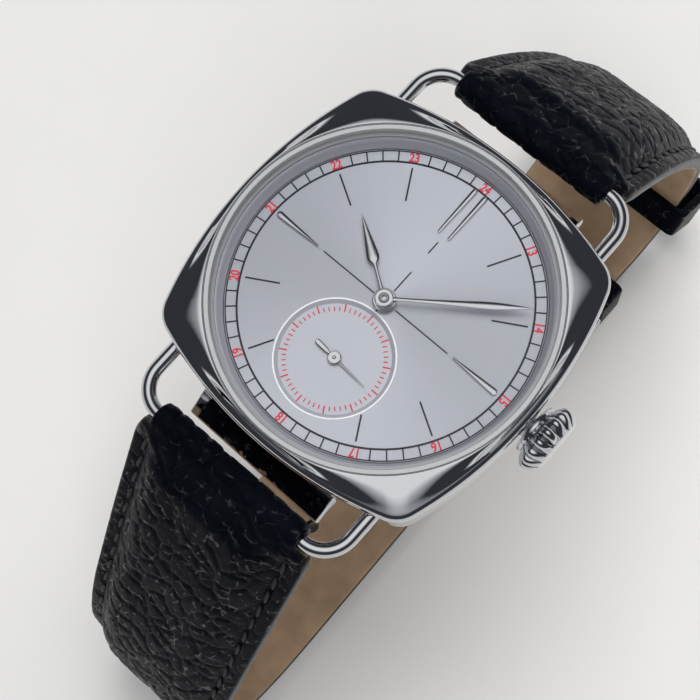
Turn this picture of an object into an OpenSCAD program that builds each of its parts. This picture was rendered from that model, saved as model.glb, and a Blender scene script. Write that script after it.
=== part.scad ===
// Cushion-cased automatic wristwatch with wire lugs, small seconds and a padded leather strap.
// Millimetres. +Z rises out of the dial, +Y points to 12 o'clock, +X to 3 o'clock and the crown.
// The origin is the centre of the case back's flat outer face, on the axis of the hands.

/* [Case] */
// Width of the cushion case across the middle of its sides
case_w = 36; // [33:0.1:40]
// Radius of each bowed side
side_r = 42.6; // [36:0.2:60]
// Radius of the rounded corners
corner_r = 3.2; // [2.4:0.1:4.5]
// Height of the widest line of the lip above the back
lip_z = 8.9; // [8.7:0.05:9.1]
// Height of the front face where it meets the crystal
bezel_z = 10.35; // [10.2:0.05:10.6]
// Depth of the step between the lip and the flank
flank_step = 0.45; // [0.2:0.05:0.6]
// Width of the polished bezel at the middle of a side, from the lip to the crystal
bezel_w = 1.5; // [1.4:0.05:1.8]
// Half width of the polished end blocks between the lug wires
block_half_w = 8.35; // [6:0.05:9]
// Length by which an end block stands out beyond the case
block_len = 1.9; // [1.2:0.1:2.2]

/* [Crystal and dial] */
// Rise of the crystal's dome at its centre
dome_h = 1.15; // [0.6:0.05:2]
// Height of the dial's face above the back
dial_z = 7.6; // [7.5:0.05:7.7]
// Thickness of the dial plate
dial_t = 0.4; // [0.3:0.05:0.5]
// Distance from the hand axis to the small seconds axis
seconds_offset = 7.2; // [6.6:0.1:7.4]
// Outer radius of the bevelled edge round the small seconds dial
seconds_rim_r = 5.8; // [5:0.1:6.2]
// Length of the minute hand as a share of the dial's radius
minute_share = 0.887; // [0.75:0.005:0.92]
// Length of the hour hand as a share of the dial's radius
hour_share = 0.56; // [0.45:0.005:0.65]
// Length of the seconds hand as a share of the radius of its dial
seconds_share = 0.707; // [0.5:0.005:0.8]
// Angle of the hour hand clockwise from 12
hour_angle = 304.6; // [0:0.1:360]
// Angle of the minute hand clockwise from 12
minute_angle = 53.9; // [0:0.1:360]
// Angle of the seconds hand clockwise from 12
seconds_angle = 94; // [0:1:360]

/* [Crown] */
// Largest radius of the fluted crown
crown_r = 3.5; // [2.8:0.1:3.8]
// Length of the crown from its base to its flat end
crown_len = 3.1; // [2.6:0.1:4]
// Number of flutes round the crown
crown_flutes = 16; // [10:1:24]
// Radius of the winding stem
stem_r = 0.7; // [0.5:0.05:0.75]

/* [Lugs] */
// Diameter of the lug wire
wire_d = 1.5; // [1.2:0.1:1.8]
// Distance from the side of the case to the strap bar of a lug
bar_gap = 4; // [3.6:0.1:5]
// Distance of each leg of a lug inwards from the line of the case's side
leg_inset = 5.6; // [5:0.1:6.2]
// Bend radius of the wire at the corners of a lug
lug_bend_r = 3.2; // [2:0.1:4]
// Height of the lug wire above the back
wire_z = 7; // [6.6:0.1:7.2]

/* [Strap] */
// Distance from the axis of a lug leg inwards to the strap's edge
strap_side = 1.6; // [1.2:0.1:2.6]
// Amount by which the strap narrows from the case to its ends
strap_taper = 3.6; // [2:0.2:5]
// Thickness of the upper leather at the strap's edges
leather_t = 1; // [0.7:0.1:1.4]
// Thickness of the lining
lining_t = 1; // [0.6:0.1:1.4]
// Height of the padding beside the case
pad_lug = 2.2; // [0.8:0.1:3]
// Height of the padding at the ends
pad_end = 0.6; // [0.2:0.1:1]
// Thickness of the leather where it wraps a bar
wrap_t = 0.8; // [0.5:0.05:1]
// Length of the top stretch of the buckle half
upper_12 = 24; // [20:0.5:28]
// Length of the top stretch of the long half
upper_6 = 30; // [26:0.5:34]
// Length of the middle stretch of the long half
middle_6 = 10; // [8:0.5:12]
// Length of the stretch above the curl of the buckle half
lower_12 = 8; // [7:0.5:9]
// Length of the stretch above the curl of the long half
lower_6 = 9; // [8:0.5:10]
// Radius of the curl at the foot of the buckle half
curl_r12 = 12; // [11:0.5:14]
// Radius of the curl at the foot of the long half
curl_r6 = 12.4; // [11:0.1:14]
// Length of the flat foot of the buckle half
flat_12 = 8; // [7:0.5:12]
// Length of the flat foot of the long half
flat_6 = 36.5; // [20:0.5:38]
// Number of buckle holes in the long half
hole_count = 6; // [3:1:7]
// Distance between buckle holes
hole_pitch = 6.5; // [5:0.5:7]
// Distance from the tip to the first buckle hole
first_hole = 24; // [20:1:30]
// Length of the buckle frame from its bar
buckle_len = 14; // [12:0.5:16]
// Angle at which the empty buckle hangs below its strap
buckle_tilt = 17; // [0:1:17]

/* [Movement] */
// Radius of the main plate
plate_r = 12.8; // [12.6:0.05:13]
// Radius of the balance wheel
balance_r = 3.9; // [3.4:0.1:3.9]
// Radius of the rotor
rotor_r = 12.2; // [11:0.1:12.4]
// Number of turns of the hairspring
hairspring_turns = 7; // [5:1:10]

/* [Fits] */
// Radial clearance of a piece that turns on another
run_gap = 0.05; // [0.02:0.01:0.08]
// Clearance between pieces that are fixed together
seat_gap = 0.02; // [0.01:0.01:0.04]

/* [Hidden] */
fine = 96;
medium = 48;
small = 32;
eps = 0.01;

// Case
case_half = case_w / 2;
crystal_r = case_half - bezel_w;
flank_z = 7.9;
case_bottom_z = 0.8;
bezel_r = crystal_r + 0.45;
bezel_land = 0.15;
crystal_z = 9.4;
ledge_t = 0.4;
ledge_r = crystal_r - 0.4;
cavity_r = ledge_r + 0.1;
crystal_edge_h = 0.95;
crystal_bevel = 0.6;
crystal_bevel_h = 0.4;
crystal_wall = 1.3;
back_flange_r = cavity_r + 0.7;
back_plug_r = cavity_r - run_gap;
back_top_z = 2.5;
back_floor_z = 1.2;
block_reach = case_half + block_len;
block_top_z = 4.0;
block_slope = 30;
block_base_z = 1.4;

// Dial, hands and applied markers
dial_r = cavity_r - 0.3;
minute_len = minute_share * dial_r;
hour_len = hour_share * dial_r;
seconds_len = seconds_share * seconds_rim_r;
marker_in = 0.528 * dial_r;
marker_out = 0.874 * dial_r;

// Wheels: teeth, then the module that sets each pair's spacing
centre_teeth = 64;
third_leaves = 8;
centre_module = 0.115;
third_teeth = 60;
fourth_leaves = 8;
third_module = 0.105;
fourth_teeth = 72;
escape_leaves = 8;
fourth_module = 0.075;
escape_teeth = 20;
barrel_teeth = 72;
centre_leaves = 12;
barrel_module = 0.14;
cannon_leaves = 12;
minute_teeth = 36;
minute_leaves = 10;
hour_teeth = 40;
motion_gap = 2.4;
ratchet_teeth = 48;
crown_wheel_teeth = 30;
winding_module = 0.13;
tooth_up = 0.8;
tooth_down = 1.15;
root_half = 0.26;
tip_half = 0.12;

// Places of the arbors, seen from the dial
third_dist = centre_module * (centre_teeth + third_leaves) / 2;
third_reach = third_module * (third_teeth + fourth_leaves) / 2;
fourth_pos = [0, -seconds_offset];
third_y = -(third_dist * third_dist - third_reach * third_reach + seconds_offset * seconds_offset)
    / (2 * seconds_offset);
third_pos = [sqrt(third_dist * third_dist - third_y * third_y), third_y];
escape_dir = 205;
escape_dist = fourth_module * (fourth_teeth + escape_leaves) / 2;
escape_pos = fourth_pos + escape_dist * [cos(escape_dir), sin(escape_dir)];
barrel_dir = 80;
barrel_dist = barrel_module * (barrel_teeth + centre_leaves) / 2;
barrel_pos = barrel_dist * [cos(barrel_dir), sin(barrel_dir)];
crown_wheel_dir = -35;
crown_wheel_dist = winding_module * (ratchet_teeth + crown_wheel_teeth) / 2;
crown_wheel_pos = barrel_pos + crown_wheel_dist * [cos(crown_wheel_dir), sin(crown_wheel_dir)];
click_r = 0.3;
click_pos = barrel_pos + 4 * [cos(175), sin(175)];
minute_dir = 50;
minute_pos = motion_gap * [cos(minute_dir), sin(minute_dir)];
balance_pos = [-7.1, -3.3];
escape_to_balance = balance_pos - escape_pos;
lever_dist = norm(escape_to_balance);
lever_unit = escape_to_balance / lever_dist;
lever_dir = atan2(lever_unit.y, lever_unit.x);
fork_offset = 2.55;
fork_pos = escape_pos + fork_offset * lever_unit;
escape_r = 1.9;
hairspring_r = 2.3;
stud_r = 0.15;

// Levels of the movement
dial_under_z = dial_z - dial_t;
plate_top_z = dial_under_z - 0.05;
plate_z = 5.3;
bridge_top_z = 3.9;
bridge_z = 3.1;
motion_floor_z = 6.25;
centre_wheel_z = 5.4;
wheel_t = 0.2;
barrel_z = 4;
barrel_t = 1.15;
third_wheel_z = 4.25;
fourth_wheel_z = 4.85;
escape_wheel_z = 4.35;
fork_z = 4.38;
balance_z = 3.72;
hairspring_z = 3.42;
cock_z = 2.75;
cock_top_z = 3.32;
ratchet_z = 2.65;
ratchet_t = 0.38;
auto_z = 2.55;
rotor_z = 2.05;
rotor_t = 0.4;
rotor_rim_z = 1.45;
stem_z = 6.25;

// Sizes of the arbors and pivots
centre_arbor_r = 0.2;
pivot_r = 0.12;
arbor_r = 0.18;
jewel_r = 0.55;
cannon_r = 0.45;
hour_pipe_r = 0.75;
hour_pipe_bore = cannon_r + run_gap;
barrel_arbor_r = 0.6;
boss_r = 1.1;
screw_r = 0.4;
screw_head_r = 0.75;
post_r = 1;
dial_hole_r = hour_pipe_r + 0.2;
hour_hand_z = dial_z + 0.5;
minute_hand_z = dial_z + 1.05;
hand_t = 0.16;
hour_collet_r = 1.15;
minute_collet_r = 0.92;

// Bosses of the main plate that carry the bridges
barrel_bosses = [[5.7, 9.87], [-8.7, 7.3]];
train_bosses = [[10.9, -2.95], [3.9, -10.7]];
cock_boss = [-10.9, 2.2];
cock_dir = atan2(cock_boss.y - balance_pos.y, cock_boss.x - balance_pos.x);
pallet_boss = [-6.6, -9.4];
auto_bosses = [[6.3, -5.8], [2.2, -9.2]];
foot_places = [[10.7, 4.6], [-10.7, -4.6]];
foot_r = 0.4;
foot_len = 0.8;

// Crown and stem
crown_x = case_half + 0.15;
tube_r = 1.25;
tube_bore = stem_r + run_gap;
tube_in_x = cavity_r - 0.3;
tube_out_x = crown_x + 1.05;
pocket_r = tube_r + 0.25;
pocket_depth = 1.35;
stem_tip_x = 5.2;
square_r = 0.42;
pinion_r = 0.85;
slot_half = pinion_r + 0.1;
slot_end_x = 10.6;

// Lugs and the strap's widths
bar_y = case_half + bar_gap;
leg_x = case_half - leg_inset;
leg_root_y = case_half - 4;
strap_w = 2 * (leg_x - strap_side);
strap_end_w = strap_w - strap_taper;

// Strap paths: each stretch is its length, its turn in degrees and its number of steps
heading_12 = 47;
heading_6 = 56;
quarter = 90;
tip_len = strap_end_w / 2;
run_6 = [[upper_6, 3, 10], [middle_6, 9, 4], [lower_6, 22, 5], [curl_r6 * quarter * PI / 180, quarter, 12],
    [flat_6 - tip_len, 0, 6], [tip_len, 0, 9]];
wrap_bore = wire_d / 2 + run_gap;
wrap_r = wire_d / 2 + run_gap + wrap_t;
wrap_half = leg_x - lug_bend_r - 0.1;
leather_start = 0.9;
lining_start = wrap_r + 0.1;
nose_len = 5;
shoulder_len = 4;
waist_w = 2.6;
layer_gap = 0.02;
hole_r = 0.9;
slot_w = 2.8;
slot_len = 5;

// Buckle and keepers
buckle_bar_r = 0.75;
buckle_wrap_r = buckle_bar_r + run_gap + 0.8;
frame_t = 2;
frame_arm = 2;
frame_in = strap_end_w / 2 + 0.3;
frame_corner = 2;
tongue_w = 1.8;
tongue_loop_r = 1.5;
keeper_t = 1.1;
keeper_gap = 0.15;
keeper_room = 3;
keeper_w = 4;
keeper_arc = 20;
keeper_in = lining_t + keeper_gap;
keeper_out = leather_t + pad_end * 1.4 + keeper_gap + keeper_room;
keeper_half = strap_end_w / 2 + 0.6 + keeper_gap;
keeper_at = 40;

// Outline of the cushion, drawn in by inset all round
function cushion_c() =
    let (k = side_r - case_half, q = side_r - corner_r)
    (-k + sqrt(2 * q * q - k * k)) / 2;

function cushion(inset, side_n = 14, corner_n = 8) =
    let (c = cushion_c(), k = side_r - case_half, a = atan2(c, c + k),
        rs = side_r - inset, rc = corner_r - inset)
    [for (turn = [0:90:270])
        each concat(
            [for (i = [0:side_n - 1])
                let (t = -a + 2 * a * i / side_n)
                spin([-k + rs * cos(t), rs * sin(t)], turn)],
            [for (i = [0:corner_n - 1])
                let (t = a + (90 - 2 * a) * i / corner_n)
                spin([c + rc * cos(t), c + rc * sin(t)], turn)])];

function spin(p, a) = [p.x * cos(a) - p.y * sin(a), p.x * sin(a) + p.y * cos(a)];

// A ring of points pulled out to a circle of radius r
function rounded(ring, r) = [for (p = ring) r * p / norm(p)];

// Arc of points about c
function arc(c, r, a0, a1, n) = [for (i = [0:n]) c + r * [cos(a0 + (a1 - a0) * i / n), sin(a0 + (a1 - a0) * i / n)]];

// Teeth round a wheel: each is four points, wide at the root and narrow at the tip
function teeth(n, module_mm) =
    let (rp = n * module_mm / 2)
    [for (i = [0:n - 1])
        for (c = [[rp - tooth_down * module_mm, -root_half], [rp + tooth_up * module_mm, -tip_half],
            [rp + tooth_up * module_mm, tip_half], [rp - tooth_down * module_mm, root_half]])
            let (a = 360 / n * (i + c[1])) c[0] * [cos(a), sin(a)]];

// Point on a stretch of strap: p is [y, z], h its heading below the horizontal
function along(p, h, len, turn, f) =
    turn == 0
        ? p + f * len * [cos(h), -sin(h)]
        : let (r = len * 180 / PI / turn)
            p + r * [sin(h + turn * f) - sin(h), cos(h + turn * f) - cos(h)];

// Stations along a strap: [y, z, heading, distance]
function stations(run, p, h, s = 0, i = 0) =
    i == len(run)
        ? [[p.x, p.y, h, s]]
        : concat(
            [for (k = [0:run[i][2] - 1])
                let (f = k / run[i][2], q = along(p, h, run[i][0], run[i][1], f))
                [q.x, q.y, h + run[i][1] * f, s + run[i][0] * f]],
            stations(run, along(p, h, run[i][0], run[i][1], 1), h + run[i][1], s + run[i][0], i + 1));

// Foot of the long half and the straight stretch that brings the keeper of the buckle half down to it
path_6 = stations(run_6, [bar_y, wire_z], heading_6);
len_6 = run_length(run_6);
foot_6 = stations([run_6[0], run_6[1], run_6[2], run_6[3]], [bar_y, wire_z], heading_6);
foot_s = run_length([run_6[0], run_6[1], run_6[2], run_6[3]]);
floor_z = foot_6[len(foot_6) - 1][1] - leather_t - 1.08 * padding(foot_s, len_6);
drop_12 = floor_z + keeper_out + keeper_t - wire_z;
fixed_drop = along([0, 0], heading_12, upper_12, 12, 1).y + along([0, 0], heading_12 + 20, lower_12, 23, 1).y
    - curl_r12;
stretch_12 = (drop_12 - fixed_drop) / along([0, 0], heading_12 + 12, 1, 8, 1).y;
run_12 = [[upper_12, 12, 10], [stretch_12, 8, 5], [lower_12, 23, 5], [curl_r12 * quarter * PI / 180, quarter, 12],
    [flat_12, 0, 4]];

function run_length(run, i = 0) = i == len(run) ? 0 : run[i][0] + run_length(run, i + 1);

function station_at(path, s, i = 0) =
    i >= len(path) - 2 || path[i + 1][3] >= s
        ? let (a = path[i], b = path[i + 1], f = (s - a[3]) / (b[3] - a[3])) a + f * (b - a)
        : station_at(path, s, i + 1);

path_12 = stations(run_12, [bar_y, wire_z], heading_12);
len_12 = run_length(run_12);
end_12 = path_12[len(path_12) - 1];
curl_12 = stations([run_12[0], run_12[1], run_12[2]], [bar_y, wire_z], heading_12);
curl_top = curl_12[len(curl_12) - 1];
curl_centre = [curl_top[0] - curl_r12, curl_top[1]];

// Width, padding and tip of a strap half at distance s
function strap_width(s, total) =
    let (start = 1 - min(1, s / shoulder_len), taper = strap_w + (strap_end_w - strap_w) * s / total)
    taper - waist_w * start * start;

function tip_share(s, total, tipped) =
    tipped && s > total - tip_len
        ? max(0.1, sqrt(max(0, 1 - pow((s - total + tip_len) / tip_len, 2))))
        : 1;

function padding(s, total) =
    (pad_lug + (pad_end - pad_lug) * s / total) * sqrt(min(1, 0.05 + s / nose_len));

function leather_section(w, pad) = [
    [-w / 2, 0], [-w / 2, leather_t * 0.75], [-w / 2 * 0.97, leather_t], [-w / 2 * 0.8, leather_t],
    [-w / 2 * 0.62, leather_t + pad * 0.72], [-w / 2 * 0.36, leather_t + pad],
    [0, leather_t + pad * 1.08],
    [w / 2 * 0.36, leather_t + pad], [w / 2 * 0.62, leather_t + pad * 0.72],
    [w / 2 * 0.8, leather_t], [w / 2 * 0.97, leather_t], [w / 2, leather_t * 0.75], [w / 2, 0]];

function lining_section(w) = [
    [-w / 2, -lining_t * 0.75], [-w / 2, -layer_gap], [w / 2, -layer_gap], [w / 2, -lining_t * 0.75],
    [w / 2 - 0.3, -lining_t], [-w / 2 + 0.3, -lining_t]];

function placed(section, st) = [for (q = section) [q.x, st[0] + q.y * sin(st[2]), st[1] + q.y * cos(st[2])]];

// Shared shapes

module skin(rings) {
    n = len(rings[0]);
    m = len(rings);
    points = [for (r = rings) each r];
    sides = [for (j = [0:m - 2]) for (i = [0:n - 1]) let (k = (i + 1) % n)
        each [[j * n + i, (j + 1) * n + k, j * n + k], [j * n + i, (j + 1) * n + i, (j + 1) * n + k]]];
    polyhedron(points, concat([[for (i = [0:n - 1]) i]], sides, [[for (i = [n - 1:-1:0]) (m - 1) * n + i]]));
}

module disc(r, z0, z1, sides = medium) {
    translate([0, 0, z0]) cylinder(r = r, h = z1 - z0, $fn = sides);
}

module ring(r1, r2, z0, z1, sides = medium) {
    difference() {
        disc(r2, z0, z1, sides);
        disc(r1, z0 - 1, z1 + 1, sides);
    }
}

module at(p) {
    translate([p.x, p.y, 0]) children();
}

module wheel(n, module_mm, z, t, bore) {
    rp = n * module_mm / 2;
    difference() {
        translate([0, 0, z]) linear_extrude(t) polygon(teeth(n, module_mm));
        disc(bore, z - 1, z + t + 1, small);
        if (rp > 1.7)
            for (a = [45:90:315])
                rotate(a) translate([rp * 0.53, 0, z - 1]) cylinder(r = rp * 0.24, h = t + 2, $fn = small);
    }
}

// Bar along X
module rod(r, x0, x1, y, z, sides = small) {
    translate([x0, y, z]) rotate([0, 90, 0]) cylinder(r = r, h = x1 - x0, $fn = sides);
}

// Bar in plan whose corners stay inside the round pads at its ends
module bar(a, ra, b, rb) {
    u = (b - a) / norm(b - a);
    v = 0.96 * [-u.y, u.x];
    polygon([a + ra * v, a - ra * v, b - rb * v, b + rb * v]);
}

module pad(p, r) {
    translate(p) circle(r, $fn = small);
}

module plan_link(a, ra, b, rb) {
    pad(a, ra);
    pad(b, rb);
    bar(a, ra, b, rb);
}

// Case

module case_shell() {
    rings = [
        [case_bottom_z, 0.9], [1.5, flank_step], [flank_z, flank_step], [flank_z + 0.12, 0.12],
        [lip_z - 0.35, 0.02], [lip_z, 0], [lip_z + 0.35, 0.08], [lip_z + 0.6, 0.28], [lip_z + 0.78, 0.58],
        [lip_z + 0.88, 0.9]];
    top = rounded(cushion(0), bezel_r + bezel_land);
    skin(concat(
        [for (r = rings) [for (p = cushion(r[1])) [p.x, p.y, r[0]]]],
        [[for (p = top) [p.x, p.y, bezel_z]]]));
}

module end_block() {
    drop = (block_reach - case_half) * tan(block_slope);
    translate([-block_half_w, 0, 0]) rotate([90, 0, 90]) linear_extrude(2 * block_half_w)
        polygon([[cavity_r + 0.4, block_base_z], [block_reach - 0.6, block_base_z],
            [block_reach, block_base_z + 0.6], [block_reach, block_top_z - drop],
            [case_half, block_top_z], [cavity_r + 0.4, block_top_z + 0.8]]);
}

module case_body() {
    color("silver")
    difference() {
        union() {
            case_shell();
            end_block();
            mirror([0, 1, 0]) end_block();
        }
        disc(bezel_r, crystal_z, bezel_z + 1, fine);
        disc(ledge_r, crystal_z - ledge_t - eps, crystal_z + eps, fine);
        disc(cavity_r, -1, crystal_z - ledge_t, fine);
        rod(tube_r, tube_in_x - 2, case_w, 0, stem_z);
        for (x = [-leg_x, leg_x], y = [-1, 1])
            translate([x, y * leg_root_y, wire_z]) rotate([-90 * y, 0, 0])
                cylinder(r = wire_d / 2, h = 2 * bar_gap, $fn = small);
    }
}

module lug(side) {
    bend = [leg_x - lug_bend_r, bar_y - lug_bend_r];
    mirror([0, side, 0]) translate([0, 0, wire_z]) {
        rod(wire_d / 2, -bend.x, bend.x, bar_y, 0);
        for (m = [0, 1])
            mirror([m, 0, 0]) {
                translate([leg_x, leg_root_y, 0]) rotate([-90, 0, 0])
                    cylinder(r = wire_d / 2, h = bend.y - leg_root_y, $fn = small);
                translate([bend.x, bend.y, 0]) rotate_extrude(angle = 90, $fn = medium)
                    translate([lug_bend_r, 0]) circle(wire_d / 2, $fn = small);
            }
    }
}

module wire_lug_12() { color("silver") lug(0); }
module wire_lug_6() { color("silver") lug(1); }

function dome(r, z, h, n) =
    let (big = (r * r + h * h) / (2 * h), a = asin(r / big))
    [for (i = [0:n]) [big * sin(a * (1 - i / n)), z + h - big + big * cos(a * (1 - i / n))]];

module crystal() {
    color("white", 0.3)
    rotate_extrude($fn = fine)
        polygon(concat(
            [[crystal_r, crystal_z], [crystal_r, crystal_z + crystal_edge_h]],
            dome(crystal_r - crystal_bevel, crystal_z + crystal_edge_h + crystal_bevel_h, dome_h, 8),
            [for (i = [8:-1:0]) dome(crystal_r - 0.9, crystal_z, dome_h + crystal_edge_h + crystal_bevel_h
                - crystal_wall, 8)[i]]));
}

module crystal_gasket() {
    color("white") ring(crystal_r + seat_gap, bezel_r - seat_gap, crystal_z, crystal_z + 0.8, fine);
}

module rehaut_ring() {
    top_z = crystal_z - ledge_t;
    color("gainsboro")
    rotate_extrude($fn = fine)
        polygon([[dial_r - 0.45, dial_z], [cavity_r - seat_gap, dial_z], [cavity_r - seat_gap, top_z],
            [ledge_r - 0.1, top_z]]);
}

module case_back() {
    color("silver")
    difference() {
        union() {
            disc(back_flange_r, 0.25, case_bottom_z, fine);
            translate([0, 0, 0]) cylinder(r1 = back_flange_r - 0.25, r2 = back_flange_r, h = 0.25, $fn = fine);
            disc(back_plug_r, case_bottom_z - eps, back_top_z, fine);
        }
        disc(back_plug_r - 1, back_floor_z, back_top_z + 1, fine);
        ring(back_plug_r - 0.55, back_plug_r + 1, case_bottom_z + 0.15, case_bottom_z + 0.6, fine);
        for (a = [30:60:330])
            rotate(a) translate([back_flange_r - 1.6, -1, -1]) cube([2.4, 2, 1.5]);
    }
}

module case_back_gasket() {
    color("dimgray")
    ring(back_plug_r - 0.53, cavity_r - seat_gap, case_bottom_z + 0.2, case_bottom_z + 0.55, fine);
}

module movement_ring() {
    color("silver")
    difference() {
        ring(plate_r + run_gap, cavity_r - run_gap, back_top_z, dial_under_z, fine);
        rod(tube_r + 0.1, plate_r - 1, cavity_r + 1, 0, stem_z);
    }
}

// Crown and winding

module crown_tube() {
    color("silver")
    difference() {
        rod(tube_r, tube_in_x, tube_out_x, 0, stem_z);
        rod(tube_bore, tube_in_x - 1, tube_out_x + 1, 0, stem_z);
    }
}

function flute(n, r_out, r_in, steps) =
    [for (i = [0:n * steps - 1])
        let (a = 360 * i / (n * steps), w = cos(n * a), k = r_in + (r_out - r_in) * pow((1 + w) / 2, 0.6))
        k * [cos(a), sin(a)]];

module crown() {
    profile = concat(
        [[0, 0], [crown_r * 0.7, 0], [crown_r * 0.82, 0.18], [crown_r * 0.83, 0.42], [crown_r * 0.74, 0.62]],
        [for (t = [0:0.125:1])
            [crown_r * (0.74 + 0.26 * sin(90 * min(1, t * 2.4)) - 0.38 * pow(max(0, t - 0.42) / 0.58, 1.7)),
                0.7 + (crown_len - 0.85) * t]],
        [[crown_r * 0.59, crown_len], [0, crown_len]]);
    color("silver")
    translate([crown_x, 0, stem_z]) rotate([0, 90, 0])
    difference() {
        intersection() {
            rotate_extrude($fn = medium) polygon(profile);
            union() {
                translate([0, 0, -1]) linear_extrude(crown_len + 0.85)
                    polygon(flute(crown_flutes, crown_r * 1.04, crown_r * 0.78, 6));
                disc(crown_r * 0.62, -1, crown_len + 1);
            }
        }
        disc(pocket_r, -1, pocket_depth, small);
        disc(stem_r, pocket_depth - 1, crown_len - 0.8, small);
    }
}

module crown_gasket() {
    color("dimgray")
    translate([crown_x, 0, stem_z]) rotate([0, 90, 0]) ring(tube_r + run_gap, pocket_r - seat_gap, 0.35, 0.75, small);
}

module winding_stem() {
    color("silver") {
        rod(stem_r, slot_end_x, crown_x + crown_len - 0.8, 0, stem_z);
        rod(square_r, stem_tip_x, slot_end_x + eps, 0, stem_z);
    }
}

module stem_pinion(x0, x1) {
    color("silver")
    translate([x0, 0, stem_z]) rotate([0, 90, 0])
    difference() {
        linear_extrude(x1 - x0) polygon(flute(14, pinion_r, pinion_r * 0.78, 4));
        disc(square_r + run_gap, -1, x1 - x0 + 1, small);
    }
}

module winding_pinion() { stem_pinion(6, 7.5); }
module sliding_pinion() { stem_pinion(7.6, 9.2); }

// Dial side

module dial() {
    color("whitesmoke") {
        difference() {
            disc(dial_r, dial_under_z, dial_z, fine);
            disc(dial_hole_r, dial_under_z - 1, dial_z + 1);
            at(fourth_pos) {
                disc(seconds_rim_r - 0.2, dial_under_z - 1, dial_z - 0.25, fine);
                translate([0, 0, dial_z - 0.25 - eps])
                    cylinder(r1 = seconds_rim_r - 0.35, r2 = seconds_rim_r, h = 0.25 + 2 * eps, $fn = fine);
            }
        }
        for (p = foot_places)
            at(p) disc(foot_r, dial_under_z - foot_len, dial_under_z + eps, small);
    }
}

module seconds_dial() {
    color("white")
    at(fourth_pos) ring(0.35, seconds_rim_r - 0.2 - seat_gap, dial_under_z, dial_z - 0.25 - seat_gap, fine);
}

// Faceted baton from radius r0 to r1 along +Y, half width w1 at its outer end
module baton(r0, r1, w0, w1, h) {
    base = concat([[-w0, r0], [w0, r0]], arc([0, r1 - w1], w1, 0, 180, 6));
    ridge = [[0, r0 + w0], [0, r1 - w1]];
    n = len(base);
    points = concat([for (p = base) [p.x, p.y, 0]], [for (p = ridge) [p.x, p.y, h]]);
    faces = concat(
        [[for (i = [0:n - 1]) i]],
        [[0, n, 1], [1, n + 1, 2], [1, n, n + 1]],
        [for (i = [2:n - 2]) [i, n + 1, i + 1]],
        [[n - 1, n, 0], [n - 1, n + 1, n]]);
    translate([0, 0, dial_z]) polyhedron(points, faces);
}

module hour_markers() {
    color("silver") {
        for (x = [-0.62, 0.62])
            translate([x, 0, 0]) baton(marker_in, marker_out, 0.14, 0.26, 0.35);
        for (a = [90, -90])
            rotate(a) baton(marker_in, marker_out - 0.3, 0.06, 0.33, 0.38);
    }
}

// Blade with two facets that meet in a ridge along +Y: outline holds distance along and half width
module blade(outline, z, rise) {
    widest = max([for (p = outline) p[1]]);
    skin([for (p = outline)
        let (w = p[1], t = hand_t / 2, crest = t + rise * w / widest)
        [[-w, p[0], z], [-w, p[0], z + t], [0, p[0], z + crest], [w, p[0], z + t], [w, p[0], z]]]);
}

module hand(collet_r, bore, collet_h, outline, z, rise) {
    difference() {
        union() {
            disc(collet_r, z - 0.05, z + collet_h, medium);
            blade(outline, z, rise);
        }
        disc(bore, z - 1, z + collet_h + 1, small);
    }
}

module hour_hand() {
    color("silver")
    rotate(-hour_angle)
    hand(hour_collet_r, hour_pipe_r, 0.3,
        [[0.9, 0.17], [hour_len * 0.37, 0.14], [hour_len * 0.42, 0.18], [hour_len * 0.45, 0.46],
            [hour_len * 0.5, 0.6], [hour_len * 0.53, 0.59], [hour_len * 0.72, 0.36], [hour_len * 0.9, 0.12],
            [hour_len, 0.03]],
        hour_hand_z, 0.14);
}

module minute_hand() {
    color("silver")
    rotate(-minute_angle)
    hand(minute_collet_r, cannon_r, 0.32,
        [[0.6, 0.17], [minute_len * 0.18, 0.16], [minute_len * 0.35, 0.21], [minute_len * 0.53, 0.3],
            [minute_len * 0.66, 0.37], [minute_len * 0.74, 0.375], [minute_len * 0.84, 0.28],
            [minute_len * 0.93, 0.14], [minute_len, 0.03]],
        minute_hand_z, 0.12);
}

module seconds_hand() {
    color("silver")
    at(fourth_pos) rotate(-seconds_angle)
    hand(0.68, pivot_r, 0.2,
        [[-seconds_len * 0.61, 0.12], [-seconds_len * 0.58, 0.24], [-seconds_len * 0.52, 0.27],
            [-seconds_len * 0.27, 0.24], [-seconds_len * 0.2, 0.13], [seconds_len * 0.4, 0.1], [seconds_len, 0.03]],
        dial_z - 0.05, 0.08);
}

// Movement plates and bridges

module bores(places, r, z0, z1) {
    for (p = places)
        at(p) disc(r, z0, z1, small);
}

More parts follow.
